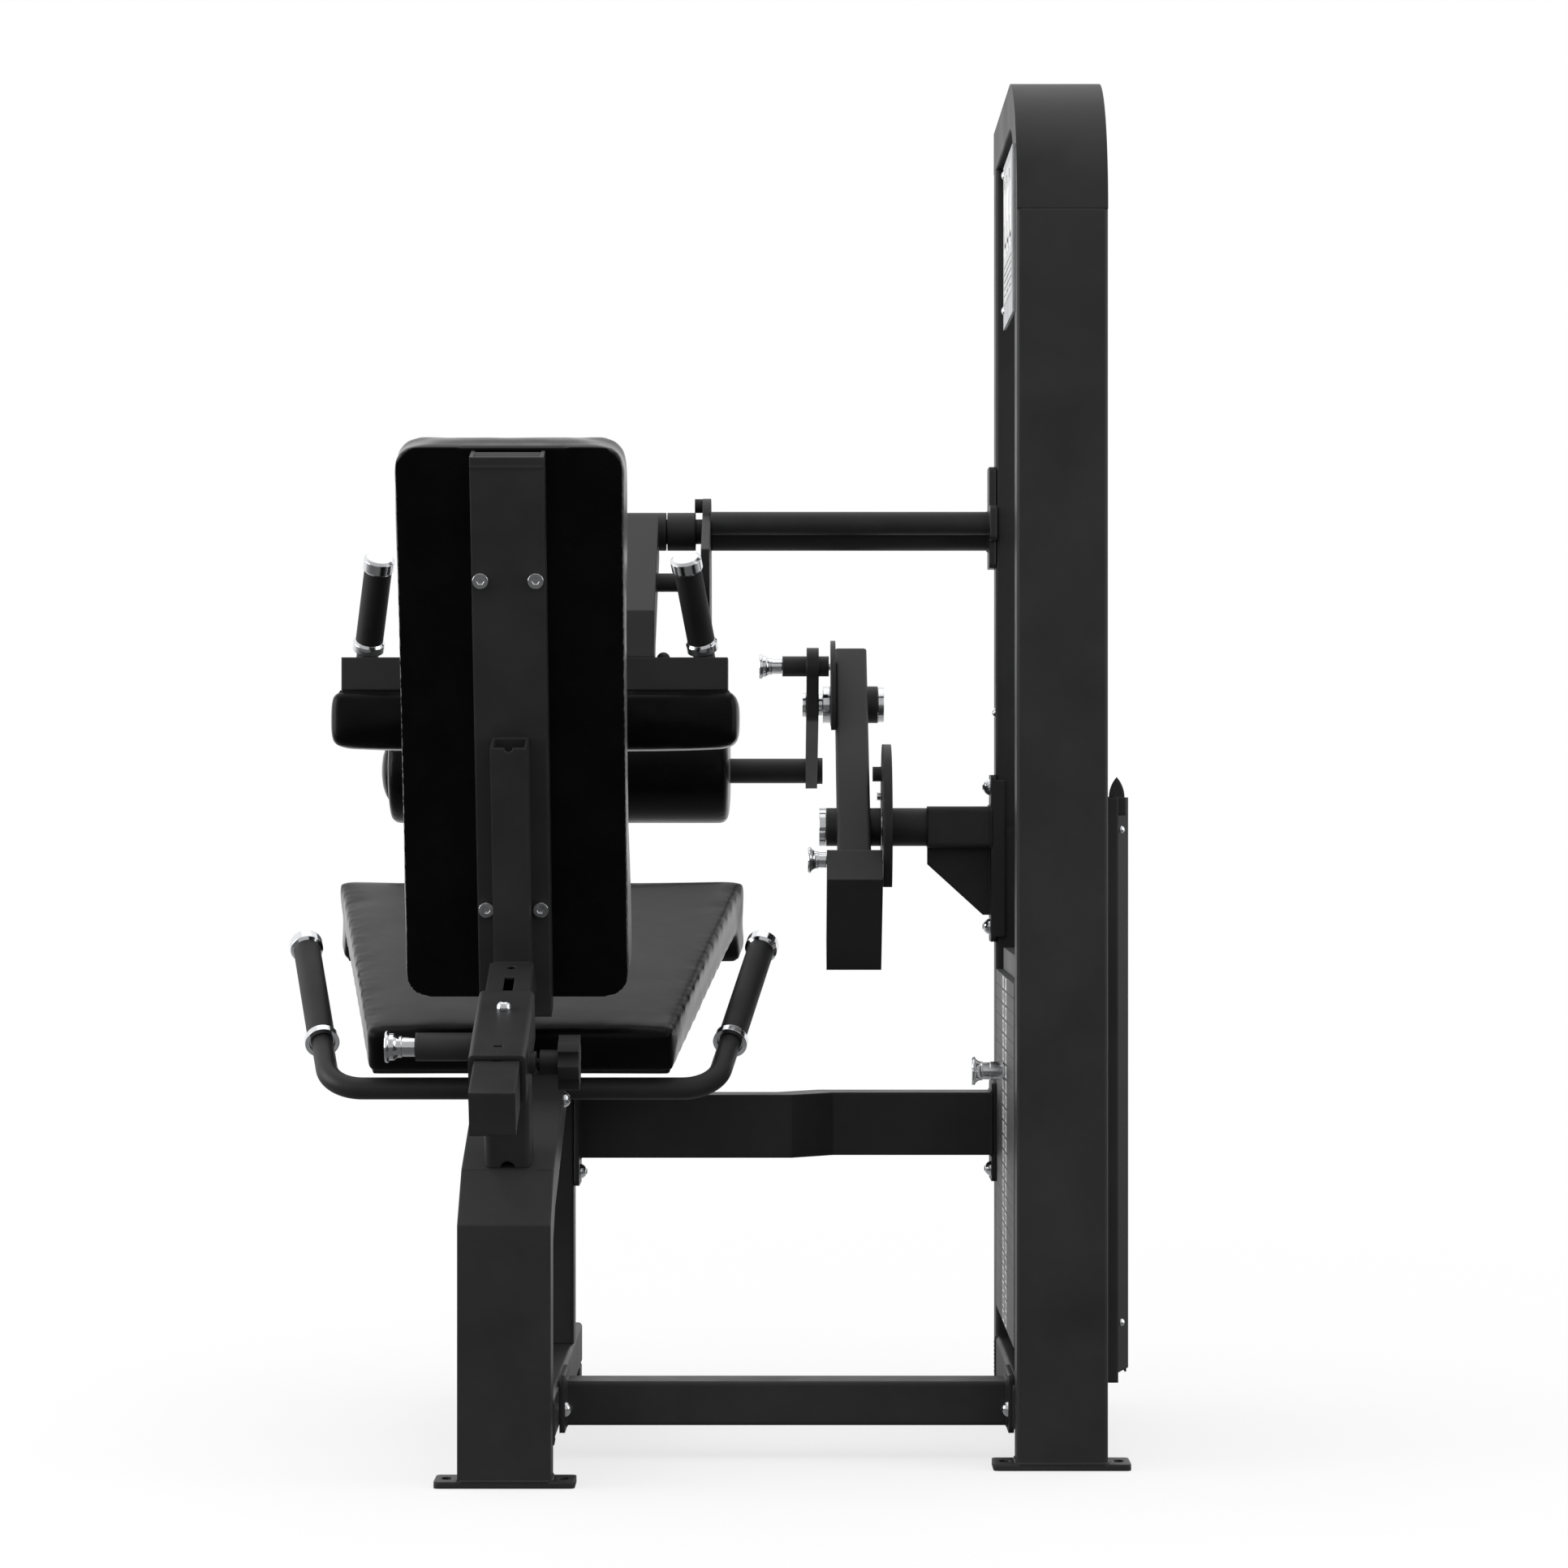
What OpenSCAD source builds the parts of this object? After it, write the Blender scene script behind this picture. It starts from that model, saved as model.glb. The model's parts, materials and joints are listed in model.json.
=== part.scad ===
// Leg extension and hamstring machine with its weight tower.
// The source is drawn from the seat side: X = 0 is the middle plane of the seat,
// Y = 0 is the rear face of the seat post and Z = 0 is the floor. The sitter faces +Y.
// Everything is moved at the end so that the origin lies under the middle of the whole machine.

/* [Frame] */
// Distance from the middle of the seat to the middle of the weight tower
tower_x = 604; // [560:1:680]
// Width of the main frame tube
tube_w = 100; // [90:1:110]
// Depth of the main frame tube
tube_d = 50; // [44:1:54]
// Wall of the frame tubes
wall = 3; // [2:0.5:5]
// Corner radius of the frame tubes
tube_r = 5; // [3.5:0.5:8]
// Height of the underside of the base beams
base_z = 38; // [30:1:60]
// Width of a foot plate
foot_w = 151; // [145:1:170]
// Depth of a foot plate
foot_d = 52; // [50:1:70]
// Thickness of a foot plate
foot_t = 7; // [5:0.5:10]
// Length of a bolt slot in a foot plate
slot_len = 18; // [16:1:24]
// Width of a bolt slot in a foot plate
slot_w = 10; // [8:0.5:12]

/* [Seat frame] */
// Height at which the rear post bends
post_bend_z = 281; // [270:1:290]
// Slope of the short part of the rear post
post_mitre_a = 40.6; // [36:0.5:45]
// Height gained in the short part of the rear post
post_mitre_h = 54; // [48:1:60]
// Rear face of the front leg
leg_y = 516; // [500:1:540]
// Front end of the base beam of the seat
base_end_y = 728; // [700:1:760]

/* [Seat] */
// Slope of the seat pad
seat_a = 19.7; // [18:0.1:21]
// Rear top edge of the seat pad, along Y
seat_y = 277; // [270:1:285]
// Rear top edge of the seat pad, height
seat_z = 471; // [468:1:480]
// Length of the seat pad along its slope
seat_len = 491; // [470:1:510]
// Width of the seat pad at the rear
seat_rear_w = 354; // [330:2:380]
// Width of the seat pad at the front
seat_front_w = 510; // [480:2:530]
// Rounding of the edges of the seat pad
seat_edge = 10; // [6:1:14]
// Depth of the roll under the front edge of the seat pad
seat_roll = 40; // [20:1:44]

/* [Hand grips] */
// Diameter of the seat handle bar
bar_d = 25.4; // [22:0.2:28]
// Diameter of a black grip
grip_d = 32; // [30:0.5:36]
// Diameter of a chrome ring
ring_d = 40; // [37:0.5:44]
// Length of a chrome ring
ring_len = 12; // [8:1:16]
// Length of a chrome end cap
cap_len = 18; // [12:1:22]
// Length between the ring and the end cap of a seat grip
seat_grip_len = 176; // [150:1:190]

/* [Back rest] */
// Lean of the back rest
back_a = 15.2; // [12:0.2:18]
// Width and height of the square back rail
rail_w = 48; // [44:0.5:50]
// Sliding gap round the back rail
rail_gap = 0.3; // [0.2:0.05:0.5]
// Wall of the sleeve that holds the rail
sleeve_wall = 5.7; // [5:0.1:7]
// Length of the sleeve
sleeve_len = 177; // [165:1:185]
// Width of the back pad
back_w = 258; // [240:1:280]
// Height of the back pad along its lean
back_len = 635; // [600:1:660]
// Thickness of the back pad
back_t = 68; // [55:1:75]
// Corner radius of the back pad
back_corner = 28; // [20:1:36]
// Width of the channel behind the back pad
chan_w = 80; // [70:1:90]
// Depth of the channel behind the back pad
chan_d = 38.6; // [34:0.1:42]

/* [Hold-down] */
// Y of the turning axis of the thigh hold-down
hub_y = 620; // [610:1:622]
// Height of the turning axis of the thigh hold-down
hub_z = 1057; // [1040:1:1070]
// Slope of the hold-down arm below the level
arm_a = 36; // [32:0.5:40]
// Length of the hold-down arm to its bend
arm_len = 216; // [200:1:225]
// Depth of the hold-down arm
arm_d = 60; // [54:1:64]
// Width of the hold-down arm
arm_w = 60; // [50:1:70]
// Width of the thigh pad
thigh_w = 476; // [440:2:500]
// Height of the thigh pad
thigh_h = 66; // [55:1:75]
// Depth of the thigh pad
thigh_d = 108; // [96:1:120]

/* [Lever] */
// Y of the main turning axis
pivot_y = 615; // [612:1:618]
// Height of the main turning axis
pivot_z = 700; // [680:1:720]
// Slope of the lever above the level
lever_a = 40; // [36:0.5:44]
// Distance from the main axis to the end of the lever
lever_len = 317; // [310:1:330]
// Distance from the main axis to the axis of the roller link
link_at = 235; // [220:1:240]
// Width of the lever tube
lever_w = 40; // [36:1:44]
// Depth of the lever tube
lever_d = 50; // [44:1:54]
// Diameter of the main shaft
shaft_d = 30; // [25:0.5:32]
// Running gap of the turning joints
run_gap = 0.05; // [0.02:0.01:0.1]
// Radius of the start disc
disc_r = 100; // [96:1:106]
// Length of the roller link from its axis to the roller tube
link_len = 229; // [215:1:240]
// Diameter of the foam roller
roller_d = 138; // [120:1:150]
// Length of the foam roller
roller_len = 440; // [400:2:450]
// Diameter of the roller tube
roller_tube_d = 32; // [28:0.5:35]
// Radius of the cable cam
cam_r = 130; // [126:1:134]

/* [Weight tower] */
// Rear face of the near upright
near_y = 120; // [110:1:130]
// Rear face of the far upright
far_y = 595; // [592:1:600]
// Height of the weight tower
tower_h = 1542; // [1500:1:1600]
// Outer radius of the bend at the top
bend_r = 160; // [150:1:170]
// Length of a weight plate
plate_len = 404; // [390:1:410]
// Width of a weight plate
plate_w = 100; // [94:1:102]
// Step from plate to plate
plate_pitch = 16.85; // [16:0.05:17.2]
// Gap between the plates
plate_gap = 0.6; // [0.4:0.1:1]
// Number of plates lifted in the pose shown
plates_up = 7; // [3:1:12]
// Number of plates left on the stack
plates_down = 17; // [10:1:20]
// Height of the underside of the lowest plate
stack_z = 126; // [120:1:130]
// Diameter of the guide rods
rod_d = 25; // [20:0.5:30]
// Distance between the guide rods
rod_span = 200; // [180:2:210]
// Diameter of the selector stem
stem_d = 25; // [20:0.5:28]
// Diameter of the lifting cable
cable_d = 6; // [5:0.5:8]
// Radius of the cable run on a pulley
pulley_r = 38; // [34:1:39]

/* [Hidden] */
$fn = 48;

steel = [0.13, 0.13, 0.14];
chrome = [0.85, 0.86, 0.88];
vinyl = [0.05, 0.05, 0.05];
rubber = [0.08, 0.08, 0.08];
plate_grey = [0.35, 0.35, 0.36];

// Tiny overlap used where a cut has to pass a face
eps = 1;
// Clearance of a seated soft part
seat_gap = 0.3;
base_h = 50;
base_top = base_z + base_h;

// Rear post, then seat beam: the upper and rear outline of the path
mitre_run = post_mitre_h / tan(post_mitre_a);
beam_y0 = mitre_run;
beam_z0 = post_bend_z + post_mitre_h;
beam_a = seat_a;
beam_end_y = leg_y + tube_d + 4;
seat_path = [[0, foot_t], [0, post_bend_z], [beam_y0, beam_z0],
  [beam_end_y, beam_z0 + (beam_end_y - beam_y0) * tan(beam_a)]];
function beam_top(y) = beam_z0 + (y - beam_y0) * tan(beam_a);
function beam_low(y) = beam_top(y) - tube_d / cos(beam_a);
// The seat pad fills the space down to the beam
seat_t = (seat_z - beam_top(seat_y)) * cos(seat_a) - seat_gap;
seat_roll_len = 46;

// Seat handle bar: the bar leans forward about its own level part
bar_tilt = 33.2;
bar_y = 330;
bar_z = beam_low(bar_y) + tube_d / cos(beam_a) / 2;
bar_corner_x = 220;
bar_turn = 79.4;
bar_bend = 45;
bar_ring_at = 100;

// Back rail and sleeve: both lie along the slope of the seat
rail_rear = [-195, 436];
rail_dir = [cos(seat_a), sin(seat_a)];
rail_up = [-sin(seat_a), cos(seat_a)];
lean_dir = [-sin(back_a), cos(back_a)];
rail_run = 354;
upright_w = 40;
rail_corner = rail_rear + rail_run * rail_dir;
rail_rise = 244;
sleeve_out = rail_w + 2 * rail_gap + 2 * sleeve_wall;
sleeve_from = 83;
rail_slot_w = 11;
rail_slot_from = 82;
rail_slot_len = 231;
sleeve_bolt_at = 209;
plunger_at = 176;
clamp_at = 134;
stub_w = 50;
stub_d = 58;
// Foot of the channel, from the level of the rail corner
chan_low = -78;

// Hold-down
hold_x = 9.5;
hub = [hub_y, hub_z];
arm_dir = [cos(arm_a), sin(arm_a)];
arm_nrm = [-sin(arm_a), cos(arm_a)];
arm_bend = hub - arm_len * arm_dir + arm_d / 2 * arm_nrm;
chan2_y = 405;
chan2_d = 80;
chan2_h = 38;
chan2_top = 899;
chan2_w = 448;
chan2_wall = 5;
arm_right = 148;
arm_left = arm_right - arm_w;
hub_d = 46;
stub_shaft_d = 30;
boss_len = 8.7;
washer_t = 1.5;
collar_len = 34;
sector_t = 10;
sector_x = arm_right + boss_len + washer_t + collar_len + 8.8;
sector_r = 142;
hold_pin_r = 118;
hold_pin_a = 180 + arm_a - 2;
hold_post_x = 196.7;
hold_post_y = 433;
hold_post_lean = [-0.156, -0.502, 0.85];
hold_grip_len = 92;
hold_ring_at = 24;

// Lever, from the main axis
pivot = [pivot_y, pivot_z];
lever_dir = [cos(lever_a), sin(lever_a)];
lever_x = 363;
boss_d = 46;
boss_out = 13;
pivot_cap = 8;
disc_x = lever_x + lever_w + boss_out + 1.5;
disc_t = 10.5;
disc_cut = 71;
start_pin_r = 86;
start_pin_a = 206.6;
housing_x = disc_x + disc_t + 1;
housing_len = 43;
bracket_x = housing_x + housing_len;
cw_from = 77;
cw_len = 54;
cw_h = 144;
cw_up = 30;
link_axis = pivot + link_at * lever_dir;
link_t = 15;
link_x = 327;
link_a = -21;
link_pin_r = 66;
link_pin_a = 135;
link_w = 46;
roller_axis = link_axis + link_len * [cos(link_a), sin(link_a)];
roller_right = 229;
link_sector_r = 80;
link_sector_t = 6;
sector2_x = lever_x - link_sector_t;

// Tower
tower_left = tower_x - tube_w / 2;
tower_right = tower_x + tube_w / 2;
top_in = tower_h - tube_d;
top_end = far_y + tube_d + 3;
stack_y = (near_y + tube_d + far_y) / 2 + 3.5;
plate_t = plate_pitch - plate_gap;
lift_z = stack_z + plates_down * plate_pitch;
head_z = lift_z + plates_up * plate_pitch;
head_t = 26;
head_top = head_z + head_t;
pin_plate_z = lift_z + plate_t / 2;
rod_hole = rod_d + 3;
stem_hole = stem_d + 4;
pin_hole = 13;
pulley_z = top_in - 8;
cable_run_z = pulley_z + pulley_r;
rear_cable_y = pivot_y + cam_r;
rear_pulley_y = rear_cable_y - pulley_r;
front_pulley_y = stack_y + pulley_r;
pulley_w = 16;
cam_x = tower_right + 8;
cam_t = 14;
shield_out = 30;
shield_t = 2;
shield_y = near_y + 40;
shield_z = 91;
shield_h = 646;
shield_cam_z = 540;
placard_t = 3;
placard_z = tower_h - 269;
placard_len = 196;
placard_h = 186;

// Outer limits of the machine, for the origin
grip_end = bar_corner_x + bar_ring_at * cos(bar_turn) + (seat_grip_len + ring_len / 2 + cap_len) * cos(bar_turn);
x_low = -(grip_end + ring_d / 2 * sin(bar_turn));
x_high = tower_right + shield_out;
y_low = rail_rear[0];
y_high = roller_axis[0] + roller_d / 2;
origin = [-(x_low + x_high) / 2, -(y_low + y_high) / 2, 0];

// Direction and right-hand normal of a step from a to b
function dir2(a, b) = (b - a) / norm(b - a);
function nrm2(v) = [v[1], -v[0]];
// Point of the path shifted by t to its right at corner i
function shifted(pts, i, t) =
  let (n = len(pts),
    u = i == 0 ? nrm2(dir2(pts[0], pts[1])) : nrm2(dir2(pts[i - 1], pts[i])),
    w = i == n - 1 ? u : nrm2(dir2(pts[i], pts[i + 1])))
  pts[i] + t * (u + w) / (1 + u * w);
// Outline of a band of thickness t along the path
function band(pts, t) = concat(pts, [for (i = [len(pts) - 1:-1:0]) shifted(pts, i, t)]);
function polar(r, a) = [r * cos(a), r * sin(a)];
module placed() {
  translate(origin) children();
}

// Turns a drawing in Y and Z into a solid of width w, centred on X = 0
module side(w) {
  rotate([90, 0, 90]) linear_extrude(w, center = true) children();
}

// The same solid, from X = x over a width w
module side_at(x, w) {
  translate([x + w / 2, 0, 0]) side(w) children();
}

// Round bar along X
module bar_x(x, len, yz, d) {
  translate([x, yz[0], yz[1]]) rotate([0, 90, 0]) cylinder(h = len, d = d);
}

module rounded(w, h, r) {
  union() {
    square([w - 2 * r, h], center = true);
    square([w, h - 2 * r], center = true);
    for (sx = [-1, 1]) for (sy = [-1, 1])
      translate([sx * (w / 2 - r), sy * (h / 2 - r)]) circle(r);
  }
}

module tube_profile(w, h, r, t) {
  difference() {
    rounded(w, h, r);
    rounded(w - 2 * t, h - 2 * t, r - t + 0.5);
  }
}

// Square tube along a path in Y and Z, mitred at its corners, from point i0 to point i1.
// e0 and e1 carry the hollow past the two ends, or stop it short of them where negative.
module mitred(pts, i0, i1, t, w, wl, e0, e1) {
  outline = concat([for (i = [i0:i1]) pts[i]], [for (i = [i1:-1:i0]) shifted(pts, i, t)]);
  a = e0 * dir2(pts[i0], pts[i0 + 1]);
  b = e1 * dir2(pts[i1 - 1], pts[i1]);
  function moved(i) = i == i0 ? -a : i == i1 ? b : [0, 0];
  hollow = concat([for (i = [i0:i1]) shifted(pts, i, wl) + moved(i)],
    [for (i = [i1:-1:i0]) shifted(pts, i, t - wl) + moved(i)]);
  difference() {
    side(w) polygon(outline);
    side(w - 2 * wl) polygon(hollow);
  }
}

// Straight upright tube
module upright(z0, z1) {
  translate([0, 0, z0]) linear_extrude(z1 - z0) tube_profile(tube_w, tube_d, tube_r, wall);
}

// Tube lying along Y
module beam_y(y0, y1, w, h, r, t) {
  translate([0, y0, 0]) rotate([-90, 0, 0]) linear_extrude(y1 - y0) tube_profile(w, h, r, t);
}

// Tube lying along X
module beam_x(x0, x1, d, h, r, t) {
  translate([x0, 0, 0]) rotate([90, 0, 90]) linear_extrude(x1 - x0) tube_profile(d, h, r, t);
}

module foot_plate() {
  difference() {
    linear_extrude(foot_t) rounded(foot_w, foot_d, 6);
    for (s = [-1, 1]) translate([s * (foot_w / 2 - 13), 0, -eps])
      linear_extrude(foot_t + 2 * eps) {
        square([slot_w, slot_len - slot_w], center = true);
        for (e = [-1, 1]) translate([0, e * (slot_len - slot_w) / 2]) circle(d = slot_w);
      }
  }
}

// Domed bolt head that grows along +Z from its seat
module dome(d, h) {
  rotate_extrude() intersection() {
    square([d / 2, h]);
    translate([0, h - (h * h + d * d / 4) / (2 * h)]) circle((h * h + d * d / 4) / (2 * h));
  }
}

// Chrome pull knob along -X, its neck at the origin
module pull_knob(d, len) {
  rotate([0, -90, 0]) rotate_extrude() difference() {
    union() {
      square([d * 0.3, len]);
      translate([0, len - 4]) square([d / 2 - 1, 4]);
      translate([d / 2 - 2, len - 2]) circle(2);
      translate([0, len * 0.45]) square([d * 0.42, len * 0.5]);
    }
    translate([d * 0.55, len * 0.52]) circle(d * 0.22);
    translate([0, len]) square([d, 4]);
  }
}

// Grip sleeve, ring and cap along +Z, for a bar of diameter bar_d
module grip_body(len) {
  difference() {
    cylinder(h = len, d = grip_d);
    translate([0, 0, -eps]) cylinder(h = len + 2 * eps, d = bar_d);
  }
}

module grip_trim(len, d) {
  translate([0, 0, -ring_len]) difference() {
    union() {
      cylinder(h = ring_len - 3, d = d);
      translate([0, 0, ring_len - 3]) cylinder(h = 3, d1 = d, d2 = grip_d);
    }
    translate([0, 0, -eps]) cylinder(h = ring_len + 2 * eps, d = bar_d);
    translate([0, 0, -eps]) cylinder(h = 3 + eps, d = bar_d + 4);
  }
  translate([0, 0, len]) difference() {
    union() {
      cylinder(h = 3, d1 = grip_d, d2 = d - 1);
      translate([0, 0, 3]) cylinder(h = cap_len - 6, d = d - 1);
      translate([0, 0, cap_len - 3]) cylinder(h = 3, d1 = d - 1, d2 = d - 8);
    }
    translate([0, 0, -eps]) cylinder(h = cap_len - 5 + eps, d = bar_d);
  }
}

// Puts a child drawn along +Z on the seat handle bar, side s, at its ring
module at_seat_grip(s) {
  turn = s * (90 - bar_turn);
  translate([0, bar_y, bar_z]) rotate([bar_tilt - 90, 0, 0])
    translate([s * bar_corner_x, 0, 0]) rotate([0, turn, 0])
      translate([0, 0, bar_ring_at]) children();
}

// Puts a child drawn along +Z on a hold-down post, side s, at its foot
module at_hold_post(s) {
  v = hold_post_lean / norm(hold_post_lean);
  tip = acos(v[2]);
  translate([hold_x + s * hold_post_x, hold_post_y, chan2_top])
    rotate([0, 0, atan2(v[1], s * v[0])]) rotate([0, tip, 0]) children();
}

// Frame of the rail: x along the rail from its rear end, y up from its upper face
module on_rail() {
  translate([0, rail_rear[0], rail_rear[1]]) rotate([seat_a, 0, 0]) children();
}

// Frame of the back rest: origin at the rail corner, y' forward, z' up the lean
module on_back() {
  translate([0, rail_corner[0], rail_corner[1]]) rotate([back_a, 0, 0]) children();
}

// Frame of the seat: origin at its rear top edge, y' along the slope
module on_seat() {
  translate([0, seat_y, seat_z]) rotate([seat_a, 0, 0]) children();
}

// Closed skin over rings that all have the same number of points
module skin(rings) {
  n = len(rings[0]);
  m = len(rings);
  function middle(r) = [for (k = [0:2]) r[0][k] + (r[n / 2][k] - r[0][k]) / 2];
  pts = concat([for (r = rings) for (p = r) p], [middle(rings[0]), middle(rings[m - 1])]);
  walls = [for (j = [0:m - 2]) for (i = [0:n - 1]) for (k = [0:1])
    k == 0 ? [j * n + i, (j + 1) * n + i, (j + 1) * n + (i + 1) % n]
      : [j * n + i, (j + 1) * n + (i + 1) % n, j * n + (i + 1) % n]];
  ends = [for (i = [0:n - 1]) for (e = [0, 1]) e == 0 ? [i, (i + 1) % n, m * n]
    : [(m - 1) * n + (i + 1) % n, (m - 1) * n + i, m * n + 1]];
  polyhedron(points = pts, faces = concat(walls, ends), convexity = 4);
}

// Points from p to q without its ends
function between(p, q, n) = n < 1 ? [] : [for (i = [1:n]) p + (q - p) * i / (n + 1)];
// Rounded rectangle of half sizes a and b: nc steps round a corner, nl points along the
// long sides and ns along the short ones
function ring_of(a, b, r, nc, nl, ns) =
  let (c = [[a - r, b - r], [r - a, b - r], [r - a, r - b], [a - r, r - b]],
    arc = [for (q = [0:3]) [for (k = [0:nc]) c[q] + r * [cos(90 * (q + k / nc)), sin(90 * (q + k / nc))]]])
  [for (q = [0:3]) each concat(arc[q], between(arc[q][nc], arc[(q + 1) % 4][0], q % 2 == 0 ? nl : ns))];
// Quarter round of radius r: how far the outline is drawn in, and how far along it is
function round_in(r, t) = [r * (1 - sin(t)), r * (1 - cos(t))];
function sgn(v) = v > 0.01 ? 1 : v < -0.01 ? -1 : 0;

module seat_rear_post() {
  color(steel) placed() mitred(seat_path, 0, 2, tube_d, tube_w, wall, 2, 2);
}

module seat_beam() {
  color(steel) placed() difference() {
    mitred(seat_path, 2, 3, tube_d, tube_w, wall, 2, -wall);
    bar_x(-tube_w, 2 * tube_w, [bar_y, bar_z], bar_d + 0.1);
  }
}

module seat_front_leg() {
  color(steel) placed() intersection() {
    translate([0, leg_y + tube_d / 2, 0]) upright(base_top, beam_top(leg_y + tube_d));
    side(tube_w + 4) polygon([[leg_y - 5, base_top], [leg_y + tube_d + 5, base_top],
      [leg_y + tube_d + 5, beam_low(leg_y + tube_d + 5)], [leg_y - 5, beam_low(leg_y - 5)]]);
  }
}

module seat_base_beam() {
  color(steel) placed() {
    translate([0, 0, base_z + base_h / 2]) beam_y(tube_d, base_end_y - 6, tube_w, base_h, tube_r, wall);
    // Rounded end cap
    translate([0, base_end_y - 6, base_z + base_h / 2]) rotate([-90, 0, 0]) {
      linear_extrude(3) rounded(tube_w, base_h, tube_r);
      translate([0, 0, 3]) linear_extrude(3) rounded(tube_w - 6, base_h - 6, tube_r);
    }
  }
}

module seat_feet() {
  color(steel) placed() {
    translate([0, foot_d / 2 - 1, 0]) foot_plate();
    translate([0, base_end_y - foot_d / 2 - 5, 0]) {
      foot_plate();
      upright(foot_t, base_z);
    }
  }
}

// Left half of the handle bar, from its middle to the end under the left grip
module half_bar() {
  reach = bar_corner_x - bar_bend * tan(bar_turn / 2);
  start = bar_bend * tan(bar_turn / 2) - bar_ring_at;
  translate([0, bar_y, bar_z]) rotate([bar_tilt, 0, 0]) {
    bar_x(-reach, reach, [0, 0], bar_d);
    translate([-reach, bar_bend, 0]) rotate([0, 0, -90 - bar_turn])
      rotate_extrude(angle = bar_turn) translate([bar_bend, 0]) circle(d = bar_d);
  }
  at_seat_grip(-1) translate([0, 0, start]) cylinder(h = seat_grip_len + cap_len - 6 - start, d = bar_d);
}

module seat_handle_bar() {
  color(steel) placed() {
    half_bar();
    mirror([1, 0, 0]) half_bar();
  }
}

module seat_grips() {
  color(rubber) placed() for (s = [-1, 1]) at_seat_grip(s) grip_body(seat_grip_len);
}

module seat_grip_rings() {
  color(chrome) placed() for (s = [-1, 1]) at_seat_grip(s) grip_trim(seat_grip_len, ring_d);
}

// Seat cushion: rings across the seat from rear to front, with a crown, sides that draw in
// and a roll that hooks down under the front edge
module seat_pad() {
  crown = 5;
  pull = 2.5;
  function depth_at(u) = seat_t + seat_roll * max(0, min(1, (u - seat_len + seat_roll_len + 6) / 8));
  function seat_ring(u, inset) =
    let (f = u / seat_len, a = (seat_rear_w + (seat_front_w - seat_rear_w) * f) / 2 - inset,
      t = depth_at(u), b = t / 2 - inset, rise = crown * (1 - pow(2 * f - 1, 4)))
    [for (p = ring_of(a, b, seat_edge, 3, 7, 1))
      let (v = p[1] / b, side_pull = pull * sgn(abs(p[0]) - a + 0.5) * (1 - v * v))
      [p[0] - sgn(p[0]) * max(0, side_pull), u, p[1] - t / 2 + (v > 0.9 ? rise * (1 - pow(p[0] / a, 2)) : 0)]];
  angles = [0, 30, 60];
  rear = [for (t = angles) let (e = round_in(seat_edge, t)) seat_ring(e[1], e[0])];
  body = [for (i = [0:9]) seat_ring(seat_edge + (seat_len - seat_roll_len - 8 - seat_edge) * i / 9, 0)];
  hook = [for (e = [-3, 0, 3]) seat_ring(seat_len - seat_roll_len + e, 0)];
  nose = [for (i = [1:2]) seat_ring(seat_len - seat_roll_len + 3 + (seat_roll_len - 3 - seat_edge) * i / 2, 0)];
  front = [for (i = [2:-1:0]) let (e = round_in(seat_edge, angles[i])) seat_ring(seat_len - e[1], e[0])];
  color(vinyl) placed() on_seat() mirror([1, 0, 0]) skin(concat(rear, body, hook, nose, front));
}

// Point on the seat beam where the rear of the sleeve stub stands
stub_along = 3;
stub_foot = [beam_y0 + stub_along * cos(beam_a), beam_z0 + stub_along * sin(beam_a)];
// Height of the stub, from the beam to the underside of the sleeve
sleeve_low = -(rail_w + rail_gap + sleeve_wall);
function over_rail(p, dy) = (p - rail_rear) * rail_up - dy;
stub_h = -over_rail(stub_foot, sleeve_low);

module slide_sleeve() {
  color(steel) placed() {
    difference() {
      on_rail() translate([0, sleeve_from, -rail_w / 2])
        beam_y(0, sleeve_len, sleeve_out, sleeve_out, 6, sleeve_wall);
      on_rail() translate([-5, sleeve_from + 22, 0]) cube([10, 6, 20]);
      on_rail() translate([-sleeve_out, sleeve_from + plunger_at - sleeve_from, -rail_w / 2])
        rotate([0, 90, 0]) cylinder(h = sleeve_out, d = 14);
      on_rail() translate([0, clamp_at, -rail_w / 2]) rotate([0, 90, 0])
        cylinder(h = sleeve_out, d = 10.1);
    }
    // Stub between the beam and the sleeve, with a drain notch at its foot
    intersection() {
      difference() {
        translate([0, stub_foot[0], stub_foot[1]]) rotate([beam_a, 0, 0])
          translate([0, stub_d / 2, 0]) linear_extrude(stub_h + 20)
            tube_profile(stub_w, stub_d, 8, 5);
        translate([0, stub_foot[0], stub_foot[1]]) rotate([beam_a, 0, 0])
          translate([0, -eps, 0]) rotate([-90, 0, 0]) cylinder(h = 12, d = 16);
      }
      translate([0, rail_rear[0], rail_rear[1]]) rotate([seat_a, 0, 0])
        translate([-stub_w, 0, -400]) cube([2 * stub_w, 500, 400 + sleeve_low]);
    }
    // Barrel of the pop pin
    difference() {
      on_rail() bar_x(-sleeve_out / 2 - 62, 62, [plunger_at, -rail_w / 2], 30);
      on_rail() bar_x(-sleeve_out / 2 - 62 - eps, 62 + 2 * eps, [plunger_at, -rail_w / 2], 12.1);
    }
    // Threaded boss of the clamp screw
    on_rail() translate([sleeve_out / 2, clamp_at, -rail_w / 2]) rotate([0, 90, 0]) difference() {
      cylinder(h = 8, d = 24);
      translate([0, 0, -eps]) cylinder(h = 8 + 2 * eps, d = 10.1);
    }
  }
}

module tower_near_upright() {
  color(steel) placed() translate([tower_x, near_y + tube_d / 2, 0]) upright(foot_t, tower_h - bend_r);
}

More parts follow.
